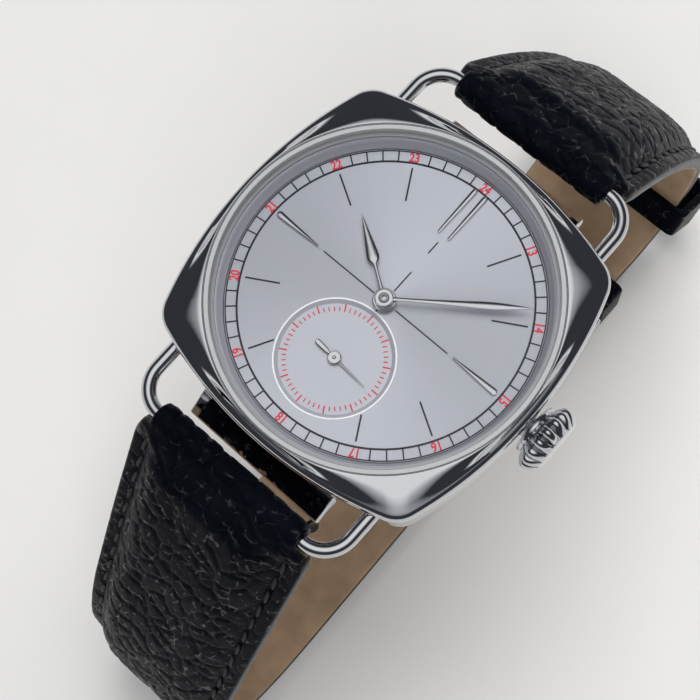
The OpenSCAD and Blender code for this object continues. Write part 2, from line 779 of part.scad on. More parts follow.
module main_plate() {
    color("silver")
    difference() {
        union() {
            disc(plate_r, plate_z, plate_top_z, fine);
            for (p = concat(barrel_bosses, train_bosses))
                at(p) disc(boss_r, bridge_top_z, plate_z + eps, small);
            at(cock_boss) disc(boss_r, cock_top_z, plate_z + eps, small);
            at(pallet_boss) disc(0.9, 4.3, plate_z + eps, small);
            at(minute_pos) disc(arbor_r, motion_floor_z - eps, motion_floor_z + 0.75, small);
        }
        difference() {
            union() {
                disc(2.4, motion_floor_z, plate_top_z + 1);
                at(minute_pos) disc(2.1, motion_floor_z, plate_top_z + 1);
            }
            at(minute_pos) disc(arbor_r, motion_floor_z - 1, plate_top_z + 2, small);
        }
        disc(4, plate_z - 1, plate_z + 0.4);
        at(third_pos) disc(0.75, plate_z - 1, plate_z + 0.4, small);
        disc(centre_arbor_r + 0.08, plate_z - 1, plate_top_z + 1, small);
        bores([third_pos, fourth_pos, escape_pos, fork_pos, balance_pos], jewel_r, plate_z - 1, plate_z + 0.8);
        at(fourth_pos) disc(arbor_r + 0.1, plate_z, plate_top_z + 1, small);
        at(barrel_pos) disc(barrel_arbor_r + run_gap, plate_z - 1, plate_z + 0.7, small);
        bores(concat(barrel_bosses, train_bosses, [cock_boss, pallet_boss]), screw_r, 1, 5.2);
        bores(foot_places, foot_r + seat_gap, plate_top_z - foot_len - 0.1, plate_top_z + 1);
        translate([stem_tip_x - 0.3, -slot_half, plate_z - 1]) cube([slot_end_x - stem_tip_x + 0.3, 2 * slot_half, 4]);
        rod(tube_bore, slot_end_x - 1, plate_r + 1, 0, stem_z);
    }
}

module bridge(z0, z1, screws) {
    difference() {
        translate([0, 0, z0]) linear_extrude(z1 - z0) children();
        bores(screws, screw_r, z0 - 1, z1 + 1);
        bores(screws, screw_head_r + run_gap, z0 - 1, z0 + 0.35);
    }
}

module barrel_bridge() {
    color("silver")
    difference() {
        bridge(bridge_z, bridge_top_z, barrel_bosses)
            difference() {
                union() {
                    pad(barrel_pos, 4.3);
                    for (p = barrel_bosses) {
                        pad(p, 1.5);
                        bar(p, 1.5, barrel_pos, 4);
                    }
                    pad([0, 0], 1.9);
                    bar([0, 0], 1.9, barrel_pos, 3.6);
                    pad(crown_wheel_pos, 2);
                    bar(crown_wheel_pos, 2, barrel_pos, 3);
                }
                translate(balance_pos) circle(balance_r + 0.4, $fn = medium);
            }
        at(barrel_pos) disc(barrel_arbor_r + run_gap, 0, 9, small);
        disc(centre_arbor_r + run_gap, 0, 9, small);
        at(crown_wheel_pos) disc(screw_r, bridge_z - 1, bridge_z + 0.6, small);
        at(click_pos) disc(click_r + run_gap, bridge_z - 1, bridge_z + 0.6, small);
    }
}

module train_bridge() {
    color("silver")
    difference() {
        bridge(bridge_z, bridge_top_z, train_bosses)
            difference() {
                union() {
                    for (p = train_bosses)
                        pad(p, 1.5);
                    pad(third_pos, 1.4);
                    pad(fourth_pos, 1.6);
                    pad(escape_pos, 1.2);
                    bar(train_bosses[0], 1.5, third_pos, 1.4);
                    bar(train_bosses[1], 1.5, fourth_pos, 1.6);
                    bar(third_pos, 1.2, fourth_pos, 1.3);
                    bar(fourth_pos, 1.2, escape_pos, 1.1);
                    bar(train_bosses[0], 1.3, train_bosses[1], 1.3);
                    polygon([train_bosses[0], third_pos, fourth_pos, train_bosses[1]]);
                }
                translate(balance_pos) circle(balance_r + 0.4, $fn = medium);
                circle(2.1, $fn = medium);
            }
        bores([third_pos, fourth_pos, escape_pos], pivot_r + run_gap, 0, 9);
        bores(auto_bosses, screw_r, bridge_z - 1, bridge_z + 0.6);
    }
}

module balance_cock() {
    color("silver") {
        difference() {
            bridge(cock_z, cock_top_z, [cock_boss]) plan_link(cock_boss, 1.25, balance_pos, 1);
            at(balance_pos) disc(pivot_r + run_gap, 0, 9, small);
        }
        at(balance_pos) rotate(cock_dir) translate([hairspring_r + 0.05 + stud_r, 0, 0])
            disc(stud_r, cock_top_z - eps, hairspring_z + 0.2, small);
    }
}

module pallet_cock() {
    color("silver")
    difference() {
        translate([0, 0, 4.08]) linear_extrude(0.22) plan_link(pallet_boss, 0.9, fork_pos, 0.45);
        at(fork_pos) disc(pivot_r + run_gap, 0, 9, small);
        at(pallet_boss) disc(screw_r, 0, 9, small);
    }
}

module automatic_bridge() {
    color("silver")
    union() {
        bridge(auto_z, bridge_z, auto_bosses)
            union() {
                pad([0, 0], 2.2);
                for (p = auto_bosses) {
                    pad(p, 1.2);
                    bar([0, 0], 2, p, 1.2);
                }
                polygon([[0, 0], auto_bosses[1], auto_bosses[0]]);
            }
        disc(post_r, rotor_z, auto_z + eps, small);
    }
}

module screw(p, z, len) {
    at(p)
    difference() {
        union() {
            disc(screw_head_r, z, z + 0.33, small);
            disc(screw_r - seat_gap, z + 0.3, z + len, small);
        }
        translate([-1, -0.1, z - 1]) cube([2, 0.2, 1.12]);
    }
}

module bridge_screws() {
    color("silver") {
        for (p = concat(barrel_bosses, train_bosses))
            screw(p, bridge_z, 2);
        screw(cock_boss, cock_z, 2);
        screw(pallet_boss, 3.73, 1.4);
        for (p = auto_bosses)
            screw(p, auto_z, 1);
        at(crown_wheel_pos) disc(screw_r - seat_gap, ratchet_z - 0.02, bridge_z + 0.5, small);
        at(crown_wheel_pos) disc(screw_head_r, ratchet_z - 0.15, ratchet_z - 0.02, small);
    }
}

module plate_jewels() {
    color("crimson")
    for (p = [third_pos, escape_pos, fork_pos, balance_pos])
        at(p) ring(pivot_r + run_gap, jewel_r, plate_z + 0.42, plate_z + 0.8, small);
}

// Going train

module mainspring_barrel() {
    color("silver")
    at(barrel_pos) {
        wheel_z = barrel_z + barrel_t - 0.35;
        body_r = barrel_teeth * barrel_module / 2 - 0.25;
        difference() {
            union() {
                disc(body_r, barrel_z, barrel_z + barrel_t, fine);
                translate([0, 0, wheel_z]) linear_extrude(0.3) polygon(teeth(barrel_teeth, barrel_module));
            }
            disc(body_r - 0.25, barrel_z + 0.2, barrel_z + barrel_t - 0.2, fine);
            disc(barrel_arbor_r + run_gap, 0, 9, small);
        }
    }
}

// Flat spiral of even pitch, drawn as one closed outline
module spiral(r0, r1, turns, t, h) {
    steps = 24 * turns;
    inner = [for (i = [0:steps]) let (a = 360 * i / 24, r = r0 + (r1 - r0) * i / steps - t / 2) r * [cos(a), sin(a)]];
    outer = [for (i = [steps:-1:0]) let (a = 360 * i / 24, r = r0 + (r1 - r0) * i / steps + t / 2) r * [cos(a), sin(a)]];
    linear_extrude(h) polygon(concat(inner, outer));
}

module mainspring() {
    color("lightsteelblue")
    at(barrel_pos) translate([0, 0, barrel_z + 0.25]) spiral(1.1, 4.45, 7, 0.14, barrel_t - 0.5);
}

module ratchet_wheel() {
    color("silver")
    at(barrel_pos) {
        wheel(ratchet_teeth, winding_module, ratchet_z, ratchet_t, barrel_arbor_r - 0.1);
        disc(barrel_arbor_r, ratchet_z, plate_z + 0.6, small);
        disc(0.95, barrel_z + 0.25, barrel_z + barrel_t - 0.25, small);
    }
}

module crown_wheel() {
    phase = 180 + crown_wheel_dir;
    color("silver")
    at(crown_wheel_pos)
        rotate(phase + 180 / crown_wheel_teeth + crown_wheel_dir * ratchet_teeth / crown_wheel_teeth)
            wheel(crown_wheel_teeth, winding_module, ratchet_z, ratchet_t, screw_r + run_gap);
}

module click() {
    reach = ratchet_teeth * winding_module / 2 + tooth_up * winding_module + 0.3;
    tip = barrel_pos + reach * [cos(150), sin(150)];
    color("silver") {
        translate([0, 0, ratchet_z]) linear_extrude(ratchet_t) plan_link(tip, 0.2, click_pos, 0.5);
        at(click_pos) disc(click_r, ratchet_z, bridge_z + 0.5, small);
    }
}

// Wheel b meshed with a wheel of na teeth that lies in direction dir from it
module meshed(p, dir, nb) {
    at(p) rotate(dir + 180 / nb) children();
}

module centre_wheel() {
    color("gold") {
        wheel(centre_teeth, centre_module, centre_wheel_z, wheel_t, centre_arbor_r - 0.05);
        translate([0, 0, barrel_z + 0.65]) rotate(barrel_dir + 180 / centre_leaves)
            linear_extrude(centre_wheel_z - barrel_z - 0.6) polygon(teeth(centre_leaves, barrel_module));
        disc(centre_arbor_r, bridge_z + 0.1, minute_hand_z + 0.3, small);
    }
}

module cannon_pinion() {
    color("silver")
    difference() {
        union() {
            disc(cannon_r, motion_floor_z + 0.05, minute_hand_z + 0.4, small);
            translate([0, 0, motion_floor_z + 0.1]) rotate(minute_dir)
                linear_extrude(0.28) polygon(teeth(cannon_leaves, 2 * motion_gap / (cannon_leaves + minute_teeth)));
        }
        disc(centre_arbor_r + seat_gap, 0, 20, small);
    }
}

module minute_wheel() {
    color("gold")
    difference() {
        meshed(minute_pos, minute_dir + 180, minute_teeth) {
            wheel(minute_teeth, 2 * motion_gap / (cannon_leaves + minute_teeth), motion_floor_z + 0.1, 0.25, 0.1);
        }
        at(minute_pos) disc(arbor_r + run_gap, 0, 20, small);
    }
    color("gold")
    at(minute_pos) rotate(minute_dir + 180)
    difference() {
        translate([0, 0, motion_floor_z + 0.34]) linear_extrude(0.36)
            polygon(teeth(minute_leaves, 2 * motion_gap / (minute_leaves + hour_teeth)));
        disc(arbor_r + run_gap, 0, 20, small);
    }
}

module hour_wheel() {
    color("gold")
    difference() {
        union() {
            rotate(minute_dir + 180 / hour_teeth) translate([0, 0, motion_floor_z + 0.44])
                linear_extrude(0.24) polygon(teeth(hour_teeth, 2 * motion_gap / (minute_leaves + hour_teeth)));
            disc(hour_pipe_r, motion_floor_z + 0.44, hour_hand_z + 0.3, small);
        }
        disc(hour_pipe_bore, 0, 20, small);
    }
}

// Arbor with pivots at both ends
module arbor(z0, z1, top_pivot) {
    disc(pivot_r, bridge_z + 0.15, z0 + eps, small);
    disc(arbor_r, z0, z1, small);
    disc(pivot_r, z1 - eps, top_pivot, small);
}

module third_wheel() {
    dir = atan2(-third_pos.y, -third_pos.x);
    color("gold")
    at(third_pos) {
        wheel(third_teeth, third_module, third_wheel_z, wheel_t, pivot_r);
        arbor(bridge_top_z + 0.05, plate_z + 0.4, plate_z + 0.75);
        rotate(dir + 180 / third_leaves + (180 + dir) * centre_teeth / third_leaves)
            translate([0, 0, centre_wheel_z - 0.05]) linear_extrude(0.3) polygon(teeth(third_leaves, centre_module));
    }
}

module fourth_wheel() {
    dir = atan2(third_pos.y - fourth_pos.y, third_pos.x - fourth_pos.x);
    color("gold")
    at(fourth_pos) {
        wheel(fourth_teeth, fourth_module, fourth_wheel_z, wheel_t, pivot_r);
        disc(pivot_r, bridge_z + 0.15, bridge_top_z + 0.06, small);
        disc(arbor_r, bridge_top_z + 0.05, plate_top_z - 0.1, small);
        disc(pivot_r - seat_gap, plate_top_z - 0.2, dial_z + 0.1, small);
        rotate(dir + 180 / fourth_leaves + (180 + dir) * third_teeth / fourth_leaves)
            translate([0, 0, third_wheel_z - 0.05]) linear_extrude(0.3) polygon(teeth(fourth_leaves, third_module));
    }
}

module escape_wheel() {
    rim = [for (i = [0:escape_teeth - 1])
        for (c = [[escape_r * 0.8, -0.3], [escape_r, -0.05], [escape_r, 0.06], [escape_r * 0.8, 0.1]])
            let (a = 360 / escape_teeth * (i + c[1])) c[0] * [cos(a), sin(a)]];
    color("silver")
    at(escape_pos) {
        difference() {
            translate([0, 0, escape_wheel_z]) linear_extrude(wheel_t) polygon(rim);
            for (a = [45:90:315])
                rotate(a) translate([escape_r * 0.46, 0, 0]) cylinder(r = escape_r * 0.22, h = 9, $fn = small);
        }
        arbor(bridge_top_z + 0.05, plate_z + 0.4, plate_z + 0.75);
        rotate(escape_dir + 180 + 180 / escape_leaves + escape_dir * fourth_teeth / escape_leaves)
            translate([0, 0, fourth_wheel_z - 0.05]) linear_extrude(0.3) polygon(teeth(escape_leaves, fourth_module));
    }
}

module pallet_fork() {
    lever = lever_dist - fork_offset - 0.95;
    color("silver")
    at(fork_pos) {
        translate([0, 0, fork_z]) linear_extrude(0.2) rotate(lever_dir) {
            plan_link([0, 0], 0.35, [lever - 0.4, 0], 0.16);
            plan_link([lever - 0.4, 0], 0.16, [lever, 0.28], 0.08);
            plan_link([lever - 0.4, 0], 0.16, [lever, -0.28], 0.08);
            for (s = [-1, 1]) {
                plan_link([0, 0], 0.3, [-0.35, s * 1.25], 0.2);
                plan_link([-0.35, s * 1.25], 0.2, [-0.75, s * 1.3], 0.12);
            }
        }
        arbor(4.33, plate_z + 0.35, plate_z + 0.75);
    }
}

module balance_wheel() {
    color("gold")
    at(balance_pos) {
        difference() {
            union() {
                ring(balance_r - 0.45, balance_r, balance_z, balance_z + 0.26);
                translate([0, 0, balance_z]) linear_extrude(0.14)
                    union() {
                        rotate(20) square([2 * balance_r - 0.5, 0.4], center = true);
                        rotate(110) square([2 * balance_r - 0.5, 0.4], center = true);
                        circle(0.5, $fn = small);
                    }
            }
            disc(pivot_r, 0, 9, small);
        }
        disc(pivot_r, cock_z + 0.2, plate_z + 0.75, small);
        disc(0.28, cock_top_z + 0.06, plate_z - 0.1, small);
        disc(0.85, 4.68, 4.85, small);
        rotate(lever_dir) translate([0.7, 0, 0]) disc(0.09, fork_z + 0.02, 4.7, small);
    }
}

module hairspring() {
    color("steelblue")
    at(balance_pos) rotate(cock_dir) translate([0, 0, hairspring_z]) spiral(0.42, hairspring_r, hairspring_turns, 0.08, 0.2);
}

// Rotor

module rotor() {
    color("silver")
    difference() {
        union() {
            translate([0, 0, rotor_z]) linear_extrude(rotor_t)
                intersection() {
                    circle(rotor_r, $fn = fine);
                    union() {
                        translate([-rotor_r, -rotor_r]) square([2 * rotor_r, rotor_r]);
                        circle(2.4, $fn = medium);
                    }
                }
            intersection() {
                ring(rotor_r - 2.8, rotor_r, rotor_rim_z, rotor_z + rotor_t, fine);
                translate([-20, -20, 0]) cube([40, 20, 9]);
            }
        }
        disc(post_r + run_gap, 0, 9, small);
        for (a = [-150, -110, -70, -30])
            rotate(a) translate([5.6, 0, 0]) cylinder(r = 1.5, h = 9, $fn = small);
    }
}

module rotor_screw() {
    color("silver")
    difference() {
        disc(1.6, rotor_z - 0.35, rotor_z - 0.05, small);
        translate([-1.2, -0.15, 0]) cube([2.4, 0.3, rotor_z - 0.2]);
    }
    color("silver")
    disc(0.6, rotor_z - 0.06, rotor_z, small);
}

// Strap

module leather(path, total, tipped, finish) {
    kept = concat([station_at(path, leather_start)], [for (st = path) if (st[3] > leather_start && st[3] <= finish) st]);
    skin([for (st = kept)
        placed(leather_section(
            strap_width(st[3], total) * tip_share(st[3], total, tipped),
            padding(st[3], total) * tip_share(st[3], total, tipped)), st)]);
}

module lining(path, total, tipped, finish) {
    first = station_at(path, lining_start);
    skin(concat(
        [placed(lining_section(strap_width(lining_start, total)), first)],
        [for (st = path)
            if (st[3] > lining_start + 0.4 && st[3] <= finish)
                placed(lining_section(strap_width(st[3], total) * tip_share(st[3], total, tipped)), st)]));
}

module buckle_holes() {
    for (k = [0:hole_count - 1]) {
        st = station_at(path_6, len_6 - first_hole - k * hole_pitch);
        translate([0, st[0], st[1]]) rotate([-st[2], 0, 0]) cylinder(r = hole_r, h = 12, center = true, $fn = small);
    }
}

module strap_12() {
    color([0.08, 0.09, 0.13])
    difference() {
        union() {
            leather(path_12, len_12, false, len_12 - 1.2);
            rod(wrap_r, -wrap_half, wrap_half, bar_y, wire_z);
            rod(buckle_wrap_r, -strap_end_w / 2 + 0.2, strap_end_w / 2 - 0.2, end_12[0], end_12[1]);
        }
        rod(wrap_bore, -case_w, case_w, bar_y, wire_z);
        rod(buckle_bar_r + run_gap, -case_w, case_w, end_12[0], end_12[1]);
        translate([-slot_w / 2, end_12[0] - 3, end_12[1] - 5]) cube([slot_w, slot_len, 10]);
    }
}

module strap_12_lining() {
    color("tan") lining(path_12, len_12, false, len_12 - slot_len + 1.2);
}

module strap_6() {
    color([0.08, 0.09, 0.13])
    mirror([0, 1, 0])
    difference() {
        union() {
            leather(path_6, len_6, true, len_6);
            rod(wrap_r, -wrap_half, wrap_half, bar_y, wire_z);
        }
        rod(wrap_bore, -case_w, case_w, bar_y, wire_z);
        buckle_holes();
    }
}

module strap_6_lining() {
    color("tan")
    mirror([0, 1, 0])
    difference() {
        lining(path_6, len_6, true, len_6);
        buckle_holes();
    }
}

module fixed_keeper() {
    y0 = end_12[0] + buckle_wrap_r + 0.3;
    color([0.08, 0.09, 0.13])
    translate([0, y0, end_12[1]])
    difference() {
        translate([-keeper_half - keeper_t, 0, -keeper_out - keeper_t])
            cube([2 * (keeper_half + keeper_t), keeper_w, keeper_in + keeper_out + 2 * keeper_t]);
        translate([-keeper_half, -1, -keeper_out]) cube([2 * keeper_half, keeper_w + 2, keeper_in + keeper_out]);
    }
}

module free_keeper() {
    r_in = curl_r12 - keeper_in;
    r_out = curl_r12 + keeper_out + 0.3;
    color([0.08, 0.09, 0.13])
    translate([0, curl_centre.x, curl_centre.y]) rotate([0, 90, 0]) rotate(keeper_at)
    rotate_extrude(angle = keeper_arc, $fn = fine)
        difference() {
            translate([r_in - keeper_t, -keeper_half - 0.5 - keeper_t])
                square([r_out - r_in + 2 * keeper_t, 2 * (keeper_half + 0.5 + keeper_t)]);
            translate([r_in, -keeper_half - 0.5]) square([r_out - r_in, 2 * (keeper_half + 0.5)]);
        }
}

module at_buckle() {
    translate([0, end_12[0], end_12[1]]) rotate([buckle_tilt, 0, 0]) children();
}

module buckle_frame() {
    half = frame_in + frame_arm;
    color("silver")
    at_buckle()
    difference() {
        translate([0, 0, -frame_t / 2]) linear_extrude(frame_t)
            difference() {
                union() {
                    translate([-half, frame_corner - buckle_len]) square([2 * half, buckle_len + 1.2 - frame_corner]);
                    translate([frame_corner - half, -buckle_len]) square([2 * (half - frame_corner), frame_corner + 1]);
                    for (x = [-1, 1])
                        translate([x * (half - frame_corner), frame_corner - buckle_len])
                            circle(frame_corner, $fn = small);
                }
                translate([-frame_in, frame_arm - buckle_len]) square([2 * frame_in, buckle_len + 4]);
            }
        rod(buckle_bar_r, -half - 1, half + 1, 0, 0);
    }
}

module buckle_bar() {
    half = frame_in + frame_arm;
    color("silver") at_buckle() rod(buckle_bar_r, -half + 0.3, half - 0.3, 0, 0);
}

module buckle_tongue() {
    color("silver")
    at_buckle()
    difference() {
        union() {
            rod(tongue_loop_r, -tongue_w / 2, tongue_w / 2, 0, 0);
            translate([-tongue_w / 2, 0, 0]) rotate([90, 0, 90]) linear_extrude(tongue_w)
                polygon([[0, -0.7], [-buckle_len + frame_arm, -frame_t / 2 - 0.08], [-buckle_len - 0.4, -frame_t / 2 - 0.12],
                    [-buckle_len - 0.4, -frame_t / 2 - 0.7], [-buckle_len + frame_arm, -frame_t / 2 - 0.85], [0, -1.48]]);
        }
        rod(buckle_bar_r + run_gap, -5, 5, 0, 0);
    }
}

case_body();
wire_lug_12();
wire_lug_6();
crystal();
crystal_gasket();
rehaut_ring();
case_back();
case_back_gasket();
movement_ring();
crown_tube();
crown();
crown_gasket();
winding_stem();
winding_pinion();
sliding_pinion();
dial();
seconds_dial();
hour_markers();
hour_hand();
minute_hand();
seconds_hand();
main_plate();
barrel_bridge();
train_bridge();
balance_cock();
pallet_cock();
automatic_bridge();
bridge_screws();
plate_jewels();
mainspring_barrel();
mainspring();
ratchet_wheel();
crown_wheel();
click();
centre_wheel();
cannon_pinion();
minute_wheel();
hour_wheel();
third_wheel();
fourth_wheel();
escape_wheel();
pallet_fork();
balance_wheel();
hairspring();
rotor();
rotor_screw();
strap_12();
strap_12_lining();
strap_6();
strap_6_lining();
fixed_keeper();
free_keeper();
buckle_frame();
buckle_bar();
buckle_tongue();
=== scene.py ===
from collections import namedtuple
from math import asin, atan2, copysign, cos, exp, hypot, pi, radians, sin, sqrt, tau

import bmesh
import bpy
from mathutils import Matrix, Vector, noise


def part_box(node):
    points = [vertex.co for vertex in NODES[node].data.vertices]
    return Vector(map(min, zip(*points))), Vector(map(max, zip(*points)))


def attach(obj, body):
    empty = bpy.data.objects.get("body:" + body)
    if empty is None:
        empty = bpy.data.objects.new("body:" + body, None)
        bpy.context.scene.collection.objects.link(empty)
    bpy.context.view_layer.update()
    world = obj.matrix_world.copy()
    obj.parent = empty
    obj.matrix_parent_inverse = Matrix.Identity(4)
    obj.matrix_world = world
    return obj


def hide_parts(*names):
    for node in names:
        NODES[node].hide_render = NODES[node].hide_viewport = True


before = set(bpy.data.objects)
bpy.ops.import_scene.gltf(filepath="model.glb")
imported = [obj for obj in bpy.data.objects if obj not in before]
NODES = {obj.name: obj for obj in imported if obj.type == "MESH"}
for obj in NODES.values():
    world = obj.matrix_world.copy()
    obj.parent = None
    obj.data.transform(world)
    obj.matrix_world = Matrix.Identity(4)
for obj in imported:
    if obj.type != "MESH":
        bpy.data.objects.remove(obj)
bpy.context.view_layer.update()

bl_info = {
    "name": "Cushion Wristwatch",
    "version": (1, 0, 0),
    "blender": (4, 5, 0),
    "location": "3D Viewport > Sidebar > Watch",
    "description": "Builds the visible pieces of an automatic wristwatch around its packed frame",
    "category": "Object",
}

FOOT_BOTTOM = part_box("strap_6")[0].z

# Sizes are in mm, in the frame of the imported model: +Z out of the dial, +Y to 12, +X to 3 and the crown
MM = 0.001
DIAL_Z = 7.6
CRYSTAL_Z = 9.4
BEZEL_Z = 10.35
SECONDS = (0.0, -7.2, 0.0)


def linear(code):
    """Linear RGB of an sRGB hex colour."""
    channels = [(code >> shift & 255) / 255 for shift in (16, 8, 0)]
    return tuple(c / 12.92 if c <= 0.04045 else ((c + 0.055) / 1.055) ** 2.4 for c in channels)


def length_prop(label, note, default):
    return bpy.props.FloatProperty(
        name=label, description=note, default=default * MM, precision=5, subtype="DISTANCE", unit="LENGTH"
    )


def colour_prop(label, note, code):
    return bpy.props.FloatVectorProperty(
        name=label, description=note, default=linear(code), min=0, max=1, size=3, subtype="COLOR"
    )


class WatchSizes(bpy.types.PropertyGroup):
    """Sizes that a user would change."""

    pad_height: length_prop("Strap padding", "Height of the padding beside the case", 2.2)
    grain: length_prop("Leather grain", "Width of the pebbles of the strap's leather", 2.3)
    grain_depth: length_prop("Grain depth", "Depth of the creases between pebbles", 0.36)
    stitch: length_prop("Stitch", "Length of one stitch of the strap", 2.2)
    line_width: length_prop("Dial line", "Width of the dial's printed hour lines", 0.17)
    numeral_height: length_prop("Numerals", "Height of the printed numerals", 0.9)


class WatchColours(bpy.types.PropertyGroup):
    """Colours that a user would change."""

    dial: colour_prop("Dial", "Silvered dial plate", 0xB6B9C1)
    ink: colour_prop("Dial ink", "Dark printed lines", 0x12141C)
    red_ink: colour_prop("Red ink", "Numerals and seconds ticks", 0xC8283C)
    leather: colour_prop("Strap", "Upper leather of the strap", 0x090B12)
    lining: colour_prop("Lining", "Lining leather", 0xA68C70)
    thread: colour_prop("Thread", "Stitching of the strap", 0x101219)
    floor: colour_prop("Floor", "Table under the watch", 0xE9E8E6)


# Materials. Texture scales are per mm, because the object coordinates are turned into mm first


def add_node(tree, kind, inputs=None, **settings):
    """Adds a node with its settings; an input is a value or the socket that feeds it."""
    node = tree.nodes.new("ShaderNode" + kind)
    for name, value in settings.items():
        setattr(node, name, value)
    for key, value in (inputs or {}).items():
        if isinstance(value, bpy.types.NodeSocket):
            tree.links.new(value, node.inputs[key])
        else:
            node.inputs[key].default_value = value
    return node


class Look:
    """A material in the making: its nodes, its shader's inputs and the object coordinates in mm."""

    def __init__(self, name, colour, metallic, roughness):
        self.material = bpy.data.materials.new(name)
        self.material.use_nodes = True
        self.tree = self.material.node_tree
        self.shader = self.tree.nodes["Principled BSDF"].inputs
        self.colour = colour
        self.shader["Base Color"].default_value = (*colour, 1)
        self.shader["Metallic"].default_value = metallic
        self.shader["Roughness"].default_value = roughness
        place = self.add("TexCoord").outputs["Object"]
        self.mm = self.add("VectorMath", {0: place, "Scale": 1 / MM}, operation="SCALE").outputs[0]

    def add(self, kind, inputs=None, **settings):
        """A new node of this material."""
        return add_node(self.tree, kind, inputs, **settings)

    def feed(self, name, socket):
        """Links a socket to an input of the shader."""
        self.tree.links.new(socket, self.shader[name])

    def calc(self, operation, *values):
        """The result of a Math node."""
        return self.add("Math", dict(enumerate(values)), operation=operation).outputs[0]

    def vector(self, operation, *values):
        """The result of a Vector Math node: a number for LENGTH, or else a vector."""
        node = self.add("VectorMath", dict(enumerate(values)), operation=operation)
        return node.outputs["Value" if operation == "LENGTH" else "Vector"]

    def speckle(self, scale, detail=2.0, rough=0.5, place=None):
        """Cloudy noise, from 0 to 1."""
        at = self.mm if place is None else place
        inputs = {"Vector": at, "Scale": scale, "Detail": detail, "Roughness": rough}
        return self.add("TexNoise", inputs).outputs["Fac"]

    def cells(self, scale, feature="DISTANCE_TO_EDGE"):
        """Distance to the edge of the nearest random cell, or to its middle for the feature F1."""
        inputs = {"Vector": self.mm, "Scale": scale}
        return self.add("TexVoronoi", inputs, feature=feature).outputs["Distance"]

    def axis_distance(self, centre):
        """Distance from an upright axis."""
        off = self.vector("SUBTRACT", self.mm, centre)
        return self.vector("LENGTH", self.vector("MULTIPLY", off, (1, 1, 0)))

    def spread(self, value, low, high, start=0.0, end=1.0):
        """value, mapped from start..end to low..high."""
        inputs = {"Value": value, "From Min": start, "From Max": end, "To Min": low, "To Max": high}
        return self.add("MapRange", inputs).outputs["Result"]

    def tint(self, factor, dark, light):
        """Base colour from dark to light times the colour, as the factor goes from 0.3 to 0.7."""
        ramp = self.add("ValToRGB", {"Fac": factor})
        for stop, place, share in zip(ramp.color_ramp.elements, (0.3, 0.7), (dark, light)):
            stop.position = place
            stop.color = (*(min(1.0, c * share) for c in self.colour), 1)
        self.feed("Base Color", ramp.outputs["Color"])

    def gloss(self, factor, low, high, start=0.3, end=0.7):
        """Roughness from low to high, as the factor goes from start to end."""
        self.feed("Roughness", self.spread(factor, low, high, start, end))

    def bump(self, height, depth_mm, strength):
        """Relief too fine for the mesh."""
        inputs = {"Height": height, "Distance": depth_mm * MM, "Strength": strength}
        self.feed("Normal", self.add("Bump", inputs).outputs["Normal"])


def polished_steel():
    """Stainless steel, buffed to a mirror: hairline wheel marks only soften the gloss a little."""
    look = Look("polished_stainless_steel", linear(0xCDCED1), 1, 0.05)
    marks = look.calc("MULTIPLY", look.speckle(0.9, 6.0, 0.7), look.speckle(24.0))
    look.gloss(marks, 0.03, 0.09, 0.1, 0.45)
    return look.material


def brushed_metal(name, code, rough, centre=None):
    """Brushed metal, with a silky sheen: grooves round a centre, or straight, coarser than real to show."""
    look = Look(name, linear(code), 1, rough)
    if centre:
        inputs = {"W": look.axis_distance(centre), "Scale": 9.0, "Detail": 4.0}
        grain = look.add("TexNoise", inputs, noise_dimensions="1D").outputs["Fac"]
    else:
        grain = look.speckle(1.0, 4.0, place=look.vector("MULTIPLY", look.mm, (0.3, 12.0, 12.0)))
    look.gloss(grain, rough - 0.08, rough + 0.12)
    look.bump(grain, 0.01, 0.5)
    return look.material


def silvered_dial(colour):
    """Silvered brass, brushed outwards from the centre: its gloss spreads light in soft wedges, and painted
    sheen in its colour makes it lighter towards 12 and 6, darker towards 3 and 9.
    """
    look = Look("silvered_sunburst_dial_painted_sheen", colour, 0.5, 0.4)
    apart = look.add("SeparateXYZ", {0: look.mm}).outputs
    angle = look.calc("ARCTAN2", apart["Y"], apart["X"])
    across = look.calc("MULTIPLY", angle, 60.0)
    along = look.calc("MULTIPLY", look.vector("LENGTH", look.mm), 0.06)
    ray = look.add("CombineXYZ", {"X": across, "Y": along}).outputs[0]
    grain = look.speckle(1.6, 5.0, 0.65, ray)
    # Painted sheen: the base colour is lighter in wedges towards 12 and 6 and darker towards 3 and 9
    painted_sheen = look.calc("COSINE", look.calc("MULTIPLY_ADD", angle, 2.0, 2.7))
    streaks = look.spread(grain, 0.45, 0.55, 0.3, 0.7)
    look.tint(look.calc("MULTIPLY_ADD", painted_sheen, 0.22, streaks), 0.9, 1.14)
    look.gloss(grain, 0.34, 0.4)
    look.shader["Anisotropic"].default_value = 0.6
    look.feed("Tangent", look.add("Tangent", direction_type="RADIAL", axis="Z").outputs[0])
    look.bump(grain, 0.004, 0.3)
    return look.material


def ringed_dial(colour):
    """Silvered brass, turned with fine rings round the seconds axis: a touch paler than the dial."""
    look = Look("silvered_ringed_dial", colour, 0.4, 0.32)
    wave = look.calc("SINE", look.calc("MULTIPLY", look.axis_distance(SECONDS), 42.0))
    look.tint(look.spread(wave, 0, 1, -1, 1), 0.99, 1.08)
    look.bump(wave, 0.004, 0.3)
    return look.material


def printed_ink(colour, name):
    """Pad-printed lacquer, a hundredth of a millimetre thick, slightly uneven in depth of colour."""
    look = Look(name, colour, 0, 0.35)
    look.tint(look.speckle(7.0), 0.85, 1.2)
    return look.material


def sapphire():
    """Coated watch glass, seen as a thin clear shell: only its edge-on faces reflect strongly."""
    look = Look("coated_watch_glass", (1, 1, 1), 1, 0.02)
    facing = look.add("LayerWeight", {"Blend": 0.5}).outputs["Facing"]
    haze = look.spread(look.speckle(0.15), 0.004, 0.012)
    look.feed("Alpha", look.calc("MULTIPLY_ADD", look.calc("POWER", facing, 4.5), 0.7, haze))
    return look.material


